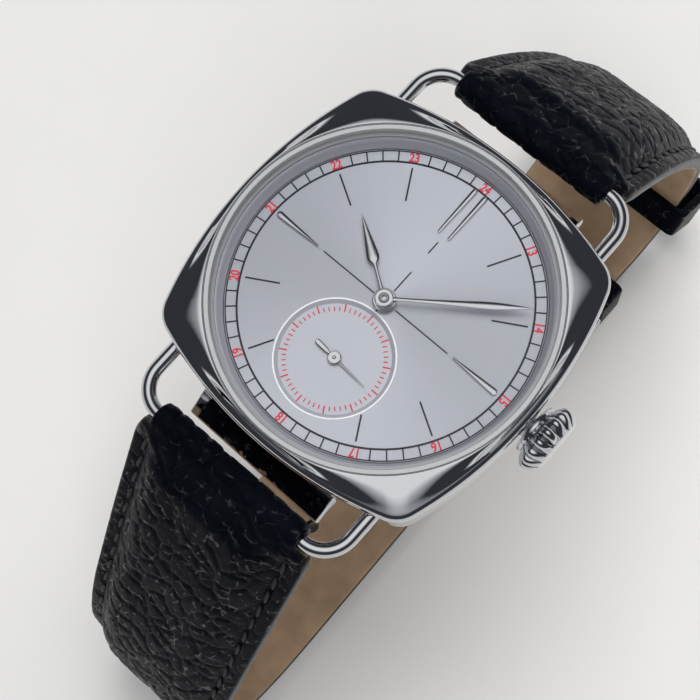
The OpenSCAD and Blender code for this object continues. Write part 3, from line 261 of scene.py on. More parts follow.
def pebbled_leather(colour):
    """Drum-dyed calf, pebbled and thinly waxed: near black, with small glints on its pebbles.

    The pebbles are in the mesh. This adds the fine wrinkles between them, about 0.4 mm apart, and
    short glossier lines where the wax has gathered along creases about 1.5 mm apart.
    """
    look = Look("pebbled_calf_leather", colour, 0, 0.34)
    creases = look.spread(look.cells(0.65), 1, 0, 0.01, 0.065)
    parts = look.spread(look.speckle(1.1), 0, 1, 0.53, 0.64)
    look.feed("Specular IOR Level", look.spread(look.calc("MULTIPLY", creases, parts), 0.025, 0.5))
    wrinkles = look.spread(look.cells(2.3), 0, 1, 0.0, 0.16)
    pores = look.speckle(7.0, 4.0)
    look.tint(look.speckle(0.25), 0.75, 1.2)
    look.gloss(pores, 0.25, 0.4)
    look.bump(look.calc("MULTIPLY_ADD", pores, 0.5, wrinkles), 0.022, 0.5)
    return look.material


def lining_leather(colour):
    """Vegetable-tanned lining calf: smooth and matt, with fine pores and slightly uneven tan."""
    look = Look("tan_lining_leather", colour, 0, 0.62)
    look.tint(look.speckle(0.35, 4.0), 0.82, 1.1)
    look.bump(look.cells(3.2, "F1"), 0.05, 0.35)
    return look.material


def edge_paint():
    """Black edge paint: rounded, satin, a little wavy where it was brushed on."""
    look = Look("black_edge_paint", linear(0x0C0D10), 0, 0.38)
    waves = look.speckle(1.3, 3.0)
    look.gloss(waves, 0.3, 0.5, 0.0, 1.0)
    look.bump(waves, 0.05, 0.4)
    return look.material


def sewing_thread(colour):
    """Waxed linen thread: two plies twisted, which shows as slanted ribs."""
    look = Look("waxed_linen_thread", colour, 0, 0.55)
    inputs = {"Vector": look.mm, "Scale": 2.2, "Distortion": 0.6}
    twist = look.add("TexWave", inputs, bands_direction="DIAGONAL").outputs["Fac"]
    look.tint(twist, 0.6, 1.6)
    look.bump(twist, 0.06, 0.8)
    return look.material


def plain_finish(name, code, metallic, rough, scale=2.0, depth=0.01):
    """A finish for small pieces: a slight unevenness in gloss and height."""
    look = Look(name, linear(code), metallic, rough)
    spots = look.speckle(scale, 3.0)
    look.gloss(spots, max(0.02, rough - 0.07), rough + 0.07)
    look.bump(spots, depth, 0.3)
    return look.material


def painted_board(colour):
    """Matt painted board: an even pale ground that takes the shadow."""
    look = Look("matt_board", colour, 0, 0.75)
    look.tint(look.speckle(0.08, 5.0), 0.985, 1.0)
    return look.material


# The finish of each key: its maker, with a colour that the user may change, or its own numbers
COLOURED = {
    "dial": (silvered_dial, "dial"),
    "seconds": (ringed_dial, "dial"),
    "ink": (printed_ink, "ink", "dark_printed_lacquer"),
    "red": (printed_ink, "red_ink", "red_printed_lacquer"),
    "leather": (pebbled_leather, "leather"),
    "lining": (lining_leather, "lining"),
    "thread": (sewing_thread, "thread"),
    "board": (painted_board, "floor"),
}
NUMBERED = {
    "steel": (polished_steel,),
    "glass": (sapphire,),
    "edge": (edge_paint,),
    "satin": (brushed_metal, "satin_steel_ring", 0xC8C9CC, 0.42, (0.0, 0.0, 0.0)),
    "brushed": (brushed_metal, "brushed_stainless_steel", 0xBDBEC1, 0.3, (0.0, 0.0, 0.0)),
    "nickel": (brushed_metal, "nickel_plated_brass", 0xC6C2B8, 0.28),
    "rotor": (brushed_metal, "striped_rotor_alloy", 0xB4ADA2, 0.3),
    "silvered": (plain_finish, "silvered_brass_ring", 0xB6B9C1, 0.3, 0.4, 5.0, 0.003),
    # Painted highlight: the cut bevel is near-white and barely metallic, so it shows as a bright line under
    # any light instead of mirroring it
    "bevel": (plain_finish, "cut_silver_bevel", 0xF2F3F5, 0.1, 0.3, 6.0, 0.004),
    "nylon": (plain_finish, "natural_moulded_nylon", 0xB4B5B6, 0, 0.45),
    "rubber": (plain_finish, "nitrile_rubber", 0x101112, 0, 0.7),
    "gilt": (plain_finish, "gilt_brass", 0xCFA355, 1, 0.28),
    "hard": (plain_finish, "hardened_steel", 0xA9ABB0, 1, 0.18),
    "blued": (plain_finish, "blued_spring_steel", 0x2A3F86, 1, 0.25),
    "ruby": (plain_finish, "synthetic_ruby", 0xB0133A, 0, 0.1),
}
MADE = {}


def finish(key):
    """The material of a key, made once."""
    if key in MADE:
        return MADE[key]
    if key in COLOURED:
        maker, prop, *more = COLOURED[key]
        MADE[key] = maker(tuple(getattr(bpy.context.scene.watch_colours, prop)), *more)
    else:
        maker, *more = NUMBERED[key]
        MADE[key] = maker(*more)
    return MADE[key]


# Making pieces

AROUND = 192
INK_T = 0.02


def as_mesh(bm, name):
    """Ends a bmesh as a mesh."""
    mesh = bpy.data.meshes.new(name)
    bm.to_mesh(mesh)
    bm.free()
    return mesh


def link(name, data):
    """A new object in the scene."""
    made = bpy.data.objects.new(name, data)
    bpy.context.scene.collection.objects.link(made)
    return made


def piece(bm, name, body, finishes, stands_for=(), sharp=35.0):
    """Ends a bmesh as an object that rides on a body of the frame."""
    bmesh.ops.recalc_face_normals(bm, faces=bm.faces)
    mesh = as_mesh(bm, name)
    mesh.shade_smooth()
    mesh.set_sharp_from_angle(angle=radians(sharp))
    for key in finishes:
        mesh.materials.append(finish(key))
    made = link(name, mesh)
    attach(made, body)
    if stands_for:
        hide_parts(*stands_for)
    return made


def loft(bm, rings, join_ends=False):
    """Skins closed rings of points by extruding the first ring, then joins the ends or caps them."""
    around = bm.verts.layers.int.get("around") or bm.verts.layers.int.new("around")
    verts = [bm.verts.new(Vector(p) * MM) for p in rings[0]]
    for i, v in enumerate(verts):
        v[around] = i
    first = edges = [bm.edges.new(pair) for pair in zip(verts, verts[1:] + verts[:1])]
    for ring in rings[1:]:
        grown = bmesh.ops.extrude_edge_only(bm, edges=edges)["geom"]
        fresh = {g for g in grown if isinstance(g, bmesh.types.BMVert)}
        for v in fresh:
            v.co = Vector(ring[v[around]]) * MM
        edges = [g for g in grown if isinstance(g, bmesh.types.BMEdge) and all(v in fresh for v in g.verts)]
    if join_ends:
        bmesh.ops.bridge_loops(bm, edges=first + edges)
    else:
        for loop in (first, edges):
            bmesh.ops.contextual_create(bm, geom=loop)


def lathe(bm, profile, origin=(0, 0, 0), axis=(0, 0, 1), steps=AROUND):
    """Turns a closed profile of (radius, height) points about an axis through origin."""
    axis, origin = Vector(axis), Vector(origin)
    side = Vector((1, 0, 0)) if abs(axis.x) < 0.5 else Vector((0, 1, 0))
    verts = [bm.verts.new((origin + side * r + axis * h) * MM) for r, h in profile]
    edges = [bm.edges.new(pair) for pair in zip(verts, verts[1:] + verts[:1])]
    bmesh.ops.spin(bm, geom=verts + edges, cent=origin * MM, axis=axis, dvec=(0, 0, 0), angle=tau,
                   steps=steps, use_merge=True)
    bmesh.ops.remove_doubles(bm, verts=bm.verts, dist=1e-7)


def line(bm, a, b, width, z):
    """A thin printed bar from a to b."""
    a, b = Vector((*a, z)), Vector((*b, z))
    way = (b - a).normalized()
    turn = Matrix((way, Vector((-way.y, way.x, 0)), Vector((0, 0, 1)))).transposed().to_4x4()
    size = Matrix.Diagonal(((b - a).length * MM, width * MM, INK_T * MM, 1))
    made = bmesh.ops.create_cube(bm, size=1.0)["verts"]
    bmesh.ops.transform(bm, verts=made, matrix=Matrix.Translation((a + b) / 2 * MM) @ turn @ size)


def polar(radius, clock_degrees, centre=(0, 0)):
    """A point at a clock angle, clockwise from 12."""
    a = radians(90 - clock_degrees)
    return centre[0] + radius * cos(a), centre[1] + radius * sin(a)


def arc(centre, radius, angles):
    """Points (x, y, angle) on a circle, with the angles in degrees."""
    return [(centre[0] + radius * cos(radians(a)), centre[1] + radius * sin(radians(a)), a) for a in angles]


def ease(t):
    """0 to 1 with level ends, as t goes from 0 to 1."""
    t = min(1.0, max(0.0, t))
    return t * t * (3 - 2 * t)


# The case

CASE_HALF = 18.0
SIDE_R = 42.6
CORNER_R = 3.2
SIDE_STEPS = 40
CORNER_STEPS = 24
CASE_BOTTOM = 0.8
SHOULDER_Z = 9.66
LEDGE_Z = 9.0
BEZEL_R = 17.12
WALL_R = 16.96
LEDGE_R = 16.1
CAVITY_R = 16.2
BLOCK_HALF = 8.35
# (height, inset from the outline): the flank up to its step, then the lip round the front
FLANK = [(CASE_BOTTOM, 1.0), (0.86, 0.8), (1.1, 0.62), (1.5, 0.5), (2.2, 0.45), (4.5, 0.45), (7.8, 0.45),
         (7.9, 0.43), (7.96, 0.36), (8.0, 0.24)]
LIP = [(8.06, 0.14), (8.2, 0.05), (8.5, 0.0), (8.8, 0.0), (9.05, 0.02), (9.25, 0.08), (9.4, 0.18),
       (9.52, 0.34), (9.6, 0.55)]
# (distance from the middle, height) round the section of an end block
BLOCK = [(16.8, 1.5), (19.2, 1.45), (19.85, 2.05), (19.85, 2.9), (18.0, 4.0), (16.8, 4.6)]


def cushion(inset):
    """Outline of the cushion case, drawn in by inset: bowed sides, round corners."""
    k, q = SIDE_R - CASE_HALF, SIDE_R - CORNER_R
    c = (-k + sqrt(2 * q * q - k * k)) / 2
    a = atan2(c, c + k)
    big, small = SIDE_R - inset, CORNER_R - inset
    side = [-a + 2 * a * i / SIDE_STEPS for i in range(SIDE_STEPS)]
    corner = [a + (pi / 2 - 2 * a) * i / CORNER_STEPS for i in range(CORNER_STEPS)]
    local = [(-k + big * cos(s), big * sin(s)) for s in side]
    local += [(c + small * cos(s), c + small * sin(s)) for s in corner]
    points = []
    for quarter in range(4):
        t = radians(90) * quarter
        points += [(x * cos(t) - y * sin(t), x * sin(t) + y * cos(t)) for x, y in local]
    return points


def cushion_ring(inset, z):
    return [(x, y, z) for x, y in cushion(inset)]


def round_ring(radius, z):
    """A circle whose points lie on the rays through the outline's points."""
    return [(radius * x / hypot(x, y), radius * y / hypot(x, y), z) for x, y in cushion(0)]


def mixed_ring(ring_a, ring_b, share, z):
    return [(a[0] + (b[0] - a[0]) * share, a[1] + (b[1] - a[1]) * share, z) for a, b in zip(ring_a, ring_b)]


def build_case():
    bm = bmesh.new()
    outer, rim = cushion_ring(0.75, SHOULDER_Z), round_ring(BEZEL_R, BEZEL_Z)
    rings = [cushion_ring(inset, z) for z, inset in FLANK + LIP] + [outer]
    for share in (0.15, 0.35, 0.6, 0.85):
        rise = 1 - (1 - share) ** 1.5
        rings.append(mixed_ring(outer, rim, share, SHOULDER_Z + (BEZEL_Z - SHOULDER_Z) * rise))
    rings.append(rim)
    rings += [round_ring(r, z) for r, z in (
        (17.06, BEZEL_Z - 0.01), (16.99, BEZEL_Z - 0.08), (WALL_R, BEZEL_Z - 0.2), (WALL_R, CRYSTAL_Z),
        (LEDGE_R, CRYSTAL_Z), (LEDGE_R, LEDGE_Z), (CAVITY_R, LEDGE_Z), (CAVITY_R, CASE_BOTTOM))]
    loft(bm, rings, join_ends=True)
    for face in bm.faces:
        if all(hypot(v.co.x, v.co.y) < (WALL_R + 0.01) * MM for v in face.verts):
            face.material_index = 1
    piece(bm, "polished_case", "case", ["steel", "satin"], ["case_body"], sharp=40)
    for side, name in ((1, "end_block_12"), (-1, "end_block_6")):
        bm = bmesh.new()
        loft(bm, [[(x, side * y, z) for y, z in BLOCK] for x in (-BLOCK_HALF, BLOCK_HALF)])
        bmesh.ops.bevel(bm, geom=bm.edges[:], offset=0.22 * MM, segments=4, profile=0.5, affect="EDGES",
                        material=-1)
        piece(bm, name, "case", ["steel"], sharp=50)


WIRE_R = 0.74
WIRE_STEPS = 28
LEG_X = 12.4
LEG_ROOT_Y = 14.1
BEND_R = 3.2
LUG_BAR = (22.0, 7.0)


def build_lugs():
    """Two wires, each bent so that its legs enter the case and its middle carries the strap."""
    bar_y, wire_z = LUG_BAR
    bend_x, bend_y = LEG_X - BEND_R, bar_y - BEND_R
    path = [(LEG_X, LEG_ROOT_Y, 0), (LEG_X, bend_y, 0)]
    path += arc((bend_x, bend_y), BEND_R, range(6, 91, 6))
    path += [(x, bar_y, 90) for x in (6, 2, -2, -6)]
    path += arc((-bend_x, bend_y), BEND_R, range(90, 180, 6))
    path += [(-LEG_X, bend_y, 180), (-LEG_X, LEG_ROOT_Y, 180)]
    circle = arc((0, 0), WIRE_R, [360 * i / WIRE_STEPS for i in range(WIRE_STEPS)])
    for side, hour in ((1, "12"), (-1, "6")):
        bm = bmesh.new()
        loft(bm, [[(x + u * cos(radians(turn)), side * (y + u * sin(radians(turn))),
                    wire_z + w) for u, w, _ in circle] for x, y, turn in path])
        piece(bm, "bent_wire_" + hour, "case", ["steel"], ["wire_lug_" + hour])


DOME_STEPS = 24


def dome(radius, z, rise):
    """Profile of a spherical cap from its rim to its top."""
    big = (radius * radius + rise * rise) / (2 * rise)
    reach = asin(radius / big)
    angles = [reach * (1 - i / DOME_STEPS) for i in range(DOME_STEPS + 1)]
    return [(big * sin(a), z + rise - big + big * cos(a)) for a in angles]


def build_crystal():
    bm = bmesh.new()
    outer = [(16.49, 9.42), (16.49, 10.3), (16.42, 10.42), (15.98, 10.72)] + dome(15.9, 10.75, 1.15)
    lathe(bm, outer + dome(15.55, 9.42, 1.18)[::-1])
    piece(bm, "domed_crystal", "case", ["glass"], ["crystal"], sharp=25)
    bm = bmesh.new()
    lathe(bm, [(15.42, 7.62), (15.5, 7.62), (15.7, 8.0), (15.86, 8.4), (15.98, 8.93), (16.05, 8.98),
               (16.18, 8.98), (16.18, 7.62)])
    piece(bm, "silvered_rehaut", "case", ["silvered"], ["rehaut_ring"], sharp=50)


# The crown

CROWN_AT = (18.15, 6.25)
CROWN_R = 3.5
NECK_R = 2.46
FLUTES = 16
FLUTE_STEPS = 16


def build_crown():
    """The onion crown: a plain collar, sixteen deep flutes that close at both ends, and a smooth end."""
    bm = bmesh.new()
    base, axis_z = CROWN_AT
    # (distance from the base, radius, depth of the flutes as a share of the radius)
    rows = [(0.02, 1.5, 0), (0.02, 2.3, 0), (0.08, 2.42, 0), (0.2, 2.5, 0), (0.5, 2.5, 0), (0.58, 2.44, 0)]
    for i in range(29):
        u = i / 28
        swell = sin(pi / 2 * min(1, u / 0.45)) ** 0.8
        r = NECK_R + (CROWN_R - NECK_R) * swell - 0.75 * max(0, (u - 0.45) / 0.55) ** 2
        rows.append((0.62 + 2.23 * u, r, 0.2 * sin(pi * (0.02 + 0.96 * u)) ** 0.45))
    rows += [(2.9, 2.68, 0), (2.98, 2.5, 0), (3.05, 2.0, 0), (3.09, 1.2, 0), (3.1, 0.4, 0)]
    angles = [tau * k / (FLUTES * FLUTE_STEPS) for k in range(FLUTES * FLUTE_STEPS)]
    rings = []
    for x, r, depth in rows:
        fluted = [(a, r * (1 - depth * (1 - abs(cos(FLUTES / 2 * a)) ** 0.55))) for a in angles]
        rings.append([(base + x, far * cos(a), axis_z + far * sin(a)) for a, far in fluted])
    loft(bm, rings)
    piece(bm, "fluted_crown", "crown_and_stem", ["steel"], ["crown"], sharp=50)


# The dial and the hands

PRINT_Z = DIAL_Z + 0.012
SECONDS_PRINT_Z = DIAL_Z - 0.27 + 0.012
# The numerals: the radius they stand on, their width as a share of the font's, the font's capitals as a
# share of its size, and what the print adds to each side of a stroke
NUMERAL_R = 14.76
NUMERAL_WIDTH = 0.82
CAP_SHARE = 0.7
PRINT_SPREAD = 0.035
# Ends of the lines: minutes, hours, and where the seconds dial makes an hour's line start
MINUTE_LINE = (14.2, 15.32)
HOUR_LINE = (10.25, 13.7)
SHORT_LINE_IN = 11.1
# The seconds ticks: their inner end, then outer end and width of the short and of the long ones
TICK_IN = 4.64
SHORT_TICK = (5.08, 0.11)
LONG_TICK = (5.41, 0.14)
MARKER_IN = 8.5
MARKER_OUT = 14.07
# Inner and outer radius of each printed ring
TRACK_RINGS = [(14.09, 14.29), (15.23, 15.36)]
# Clock angle, start and end of the lines of the cross hair
CROSS_HAIR = [(90, 1.35, 7.8), (270, 1.35, 7.8), (0, 1.35, 3.85), (0, 6.27, 7.75), (180, 0.9, 1.4)]


def numerals():
    """One mesh of the printed numbers 13 to 24, tops outwards."""
    bm = bmesh.new()
    height = bpy.context.scene.watch_sizes.numeral_height
    for hour in range(1, 13):
        words = bpy.data.curves.new("numeral", "FONT")
        words.body = str(12 + hour)
        words.align_x = "CENTER"
        words.align_y = "CENTER"
        words.size = height / CAP_SHARE
        words.extrude = INK_T / 2 * MM
        words.offset = PRINT_SPREAD * MM
        words.resolution_u = 3
        holder = link("numeral", words)
        bpy.context.view_layer.update()
        seen = holder.evaluated_get(bpy.context.evaluated_depsgraph_get())
        flat = bpy.data.meshes.new_from_object(seen)
        bpy.data.objects.remove(holder)
        xs = [v.co.x for v in flat.vertices]
        ys = [v.co.y for v in flat.vertices]
        middle = Vector(((min(xs) + max(xs)) / 2, (min(ys) + max(ys)) / 2, 0))
        place = Vector((*polar(NUMERAL_R, 30 * hour), DIAL_Z + 0.015)) * MM
        flat.transform(Matrix.Translation(place) @ Matrix.Rotation(radians(-30 * hour), 4, "Z")
                       @ Matrix.Diagonal((NUMERAL_WIDTH, 1, 1, 1)) @ Matrix.Translation(-middle))
        bm.from_mesh(flat)
        bpy.data.meshes.remove(flat)
    return bm


def build_dial():
    width = bpy.context.scene.watch_sizes.line_width / MM
    bm = bmesh.new()
    low, high = PRINT_Z - INK_T / 2, PRINT_Z + INK_T / 2
    for r0, r1 in TRACK_RINGS:
        lathe(bm, [(r0, low), (r1, low), (r1, high), (r0, high)])
    for minute in range(60):
        if minute % 5:
            a, b = (polar(r, 6 * minute) for r in MINUTE_LINE)
            line(bm, a, b, width * 0.85, PRINT_Z)
    for hour in (1, 2, 4, 5, 7, 8, 10, 11):
        inner = SHORT_LINE_IN if hour in (5, 7) else HOUR_LINE[0]
        line(bm, polar(inner, 30 * hour), polar(HOUR_LINE[1], 30 * hour), width, PRINT_Z)
    for clock, inner, outer in CROSS_HAIR:
        line(bm, polar(inner, clock), polar(outer, clock), width * 0.8, PRINT_Z)
    piece(bm, "printed_track_and_lines", "case", ["ink"])
    piece(numerals(), "printed_hour_numerals", "case", ["red"])
    bm = bmesh.new()
    for second in range(60):
        outer, wide = SHORT_TICK if second % 5 else LONG_TICK
        a, b = (polar(r, 6 * second, SECONDS) for r in (TICK_IN, outer))
        line(bm, a, b, wide, SECONDS_PRINT_Z)
    piece(bm, "printed_seconds_ticks", "case", ["red"])
    bm = bmesh.new()
    lathe(bm, [(5.42, 7.35), (5.45, 7.37), (5.77, 7.6), (5.8, 7.63), (5.9, 7.635), (5.93, 7.61),
               (5.93, 7.5), (5.42, 7.3)], SECONDS)
    # The crest and outer faces of the rim take the painted white highlight; the slope inside it takes the
    # silvered finish
    for face in bm.faces:
        if all((v.co - Vector(SECONDS) * MM).to_2d().length < 5.775 * MM for v in face.verts):
            face.material_index = 1
    piece(bm, "bevelled_seconds_rim", "case", ["bevel", "silvered"], sharp=60)


def ridged(bm, outline, turn, ridge, base, thick, rise, bevel, centre=(0, 0, 0)):
    """A blade with a raised spine and bevelled edges, from rows of (distance along, half width).

    Its spine rises in full where its half width reaches ridge, and less where it is narrower.
    """
    spin = Matrix.Translation(Vector(centre)) @ Matrix.Rotation(radians(-turn), 4, "Z")
    rows = []
    for along, half in outline:
        cut = min(bevel, 0.45 * half)
        flat = base + thick
        side = flat - 0.45 * cut
        section = [(-half, base), (half, base), (half, side), (half - cut, flat),
                   (0, flat + rise * min(1.0, half / ridge)), (cut - half, flat), (-half, side)]
        rows.append([spin @ Vector((x, along, h)) for x, h in section])
    loft(bm, rows)


def collet(bm, radius, bore, z0, z1, centre=(0, 0, 0)):
    """The round boss of a hand, with a bevelled rim and an open bore."""
    edge = 0.12
    lathe(bm, [(bore, z0), (radius - edge, z0), (radius, z0 + edge), (radius, z1 - edge),
               (radius - edge, z1), (bore + 0.06, z1), (bore, z1 - 0.05)], centre, steps=96)


HOUR_HAND = [(0.8, 0.17), (2.0, 0.15), (3.3, 0.14), (3.72, 0.17), (3.85, 0.3), (3.98, 0.44), (4.15, 0.54),
             (4.4, 0.6), (4.7, 0.59), (5.4, 0.5), (6.4, 0.36), (7.5, 0.2), (8.5, 0.07), (8.9, 0.015)]
MINUTE_HAND = [(0.6, 0.17), (2.5, 0.16), (5.0, 0.21), (7.5, 0.3), (9.2, 0.37), (10.4, 0.375),
               (11.5, 0.31), (12.6, 0.2), (13.6, 0.08), (14.1, 0.015)]
SECONDS_HAND = [(0.5, 0.11), (1.5, 0.1), (3.0, 0.07), (4.07, 0.02)]
COUNTERWEIGHT = [(-0.5, 0.12), (-0.85, 0.14), (-1.05, 0.24), (-2.2, 0.27), (-2.4, 0.22), (-2.5, 0.1)]
HOUR_ANGLE = 304.6
MINUTE_ANGLE = 53.9
SECONDS_ANGLE = 94


def build_hands():
    bm = bmesh.new()
    ridged(bm, HOUR_HAND, HOUR_ANGLE, ridge=0.6, base=8.1, thick=0.24, rise=0.03, bevel=0.22)
    collet(bm, 1.15, 0.76, 8.05, 8.4)
    piece(bm, "hour_hand_blade", "hour", ["steel"], ["hour_hand"], sharp=20)
    bm = bmesh.new()
    ridged(bm, MINUTE_HAND, MINUTE_ANGLE, ridge=0.37, base=8.65, thick=0.18, rise=0.03, bevel=0.14)
    collet(bm, 0.92, 0.46, 8.6, 8.97)
    piece(bm, "minute_hand_blade", "centre", ["steel"], ["minute_hand"], sharp=20)
    bm = bmesh.new()
    both = {"base": 7.58, "rise": 0.01, "centre": SECONDS}
    ridged(bm, SECONDS_HAND, SECONDS_ANGLE, ridge=0.11, thick=0.07, bevel=0.06, **both)
    ridged(bm, COUNTERWEIGHT, SECONDS_ANGLE, ridge=0.27, thick=0.12, bevel=0.1, **both)
    collet(bm, 0.68, 0.13, 7.55, 7.8, SECONDS)
    lathe(bm, [(0, 7.6), (0.14, 7.6), (0.14, 7.84), (0.09, 7.88), (0, 7.88)], SECONDS, steps=32)
    piece(bm, "seconds_hand_blade", "fourth", ["steel"], ["seconds_hand"], sharp=20)
    bm = bmesh.new()
    lathe(bm, [(0, 8.96), (0.3, 8.94), (0.44, 8.9), (0.44, 9.05), (0.38, 9.1), (0.3, 9.1), (0.24, 9.03),
               (0.12, 9.05), (0, 9.07)], steps=64)
    piece(bm, "cannon_pipe_end", "centre", ["steel"], sharp=50)


def build_markers():
    """Applied batons at 12, 3 and 9: bright shallow facets between thin dark bevels."""
    bm = bmesh.new()
    outline = [(MARKER_IN, 0.12), (MARKER_IN + 0.5, 0.15), (MARKER_OUT - 0.26, 0.26),
               (MARKER_OUT - 0.1, 0.24), (MARKER_OUT, 0.1)]
    for x in (-0.62, 0.62):
        ridged(bm, outline, 0, 0.26, DIAL_Z, thick=0.28, rise=0.02, bevel=0.1, centre=(x, 0, 0))
    outline = [(MARKER_IN, 0.06), (MARKER_IN + 1.5, 0.16), (MARKER_OUT - 0.63, 0.33),
               (MARKER_OUT - 0.43, 0.3), (MARKER_OUT - 0.3, 0.14)]
    for turn in (90, 270):
        ridged(bm, outline, turn, 0.33, DIAL_Z, thick=0.28, rise=0.045, bevel=0.06)
    piece(bm, "applied_batons", "case", ["steel"], ["hour_markers"], sharp=20)


# The strap

LEATHER_T = 1.0
LINING_T = 1.0
END_PAD = 0.6
STRAP_W = 21.6
TAPER = 3.6
TIP_LEN = 9
# The leather's wrap round a bar: its outer radius, the room inside it, the tail sewn under it and how
# much thinner that ends, then half its width round the wire and round the buckle's bar
WRAP_R = 1.6
WRAP_ROOM = 0.86
TURN_UNDER = 3.2
TAIL_THIN = 0.5
WIRE_WRAP_HALF = 9.1
BUCKLE_WRAP_HALF = 8.8
# The slot for the buckle's tongue: half its width as a share of the strap's, and its length
SLOT_SHARE = 1.4 / 9.0
SLOT_REACH = 3.0
# The sewing channel: its place inwards from the strap's edge, its depth, and the thread's spacing
CHANNEL = 1.7
CHANNEL_DEPTH = 0.16
STITCH_GAP = 0.7
# Stretches of each half, each a length and a turn in degrees, after a first heading below the level
HEADING_12 = 47.0
RUN_12 = [(24, 12), (14.2193, 8), (8, 23), (12 * pi / 2, 90), (8, 0)]
HEADING_6 = 56.0
RUN_6 = [(30, 3), (10, 9), (9, 22), (12.4 * pi / 2, 90), (36.5, 0)]
STATION_STEP = 0.25
LEATHER_COLUMNS = 104
HOLES = 6
HOLE_R = 0.9
HOLE_PITCH = 6.5
# From the tip to the first hole
FIRST_HOLE = 24

# Half of the strap: its hour and body, its side of the dial (1 or -1), its stations, its length, and
# whether it ends in a tip
Half = namedtuple("Half", "hour body side path total tipped")
# A place on the strap's middle layer, s along it; wrapped is 0 at a tail's thin end and 1 past the tail
Station = namedtuple("Station", "y z heading s wrapped", defaults=[1.0])


def walk(start, heading, run):
    """Stations along stretches of (length, turn)."""
    y, z = start
    out = [Station(y, z, heading, 0.0)]
    gone = 0.0
    for length, turn in run:
        count = max(1, round(length / STATION_STEP))
        for i in range(count):
            a = radians(heading + turn * (i + 0.5) / count)
            y += cos(a) * length / count
            z -= sin(a) * length / count
            gone += length / count
            out.append(Station(y, z, heading + turn * (i + 1) / count, gone))
        heading += turn
    return out


def tip_share(strap, s):
    """Share of its width that the strap has at s: less than 1 only in a rounded tip."""
    if not strap.tipped or s <= strap.total - TIP_LEN:
        return 1.0
    return max(0.08, sqrt(max(0.0, 1 - ((s - strap.total + TIP_LEN) / TIP_LEN) ** 2)))


def half_width(strap, s):
    """Half the width at s before the tip: a taper, with a waist where the strap leaves the wire."""
    return (STRAP_W - TAPER * s / strap.total - 2.6 * (1 - min(1, s / 4)) ** 2) / 2


def pebble(x, s, size):
    """Height of the leather's grain, from 0 in a crease to about 1 on a pebble, longer than wide."""
    p = Vector((x / size, s / size / 1.25, 0))
    p += Vector((noise.noise(p * 0.6), noise.noise(p * 0.6 + Vector((7, 3, 1))), 0)) * 0.4

    def pillow(at, width):
        near = noise.voronoi(at)[0]
        gap = min(1.0, (near[1] - near[0]) / width)
        return sqrt(1 - (1 - gap) ** 2)

    broad = noise.noise(Vector((x / size * 0.25, s / size * 0.3, 4.0)))
    return 0.85 * pillow(p, 0.36) + 0.12 * pillow(p * 2.3 + Vector((3, 5, 2)), 0.5) + 0.4 * broad


def strap_point(st, side, x, n):
    """A point x across the strap and n above its middle layer at a station."""
    a = radians(st.heading)
    return (x, side * (st.y + n * sin(a)), st.z + n * cos(a))


def wrap_stations(path, at_end):
    """Stations from under the strap, round the bar at one end, to its top."""
    bar, way = (path[-1], -1) if at_end else (path[0], 1)
    a = radians(bar.heading)
    out = []
    for i in range(13):
        t = TURN_UNDER * (1 - i / 12)
        out.append(Station(bar.y + way * t * cos(a), bar.z - way * t * sin(a),
                           bar.heading - way * 180, bar.s - way * (WRAP_R * pi + t), 1 - t / TURN_UNDER))
    for i in range(1, 26):
        turn = way * 180 * (1 - i / 26)
        out.append(Station(bar.y, bar.z, bar.heading - turn, bar.s - WRAP_R * radians(turn)))
    return out


def leather_ring(st, side, columns, half, outer, inner, ends):
    """One closed section of the leather: its under face, its two edges and its top."""
    low, high = columns[0] * half, columns[-1] * half
    ring = [strap_point(st, side, low + 0.05 * ends[0], inner), strap_point(st, side, low, inner + 0.3)]
    ring += [strap_point(st, side, u * half, outer(u)) for u in columns]
    ring += [strap_point(st, side, high, inner + 0.3), strap_point(st, side, high - 0.05 * ends[1], inner)]
    return ring


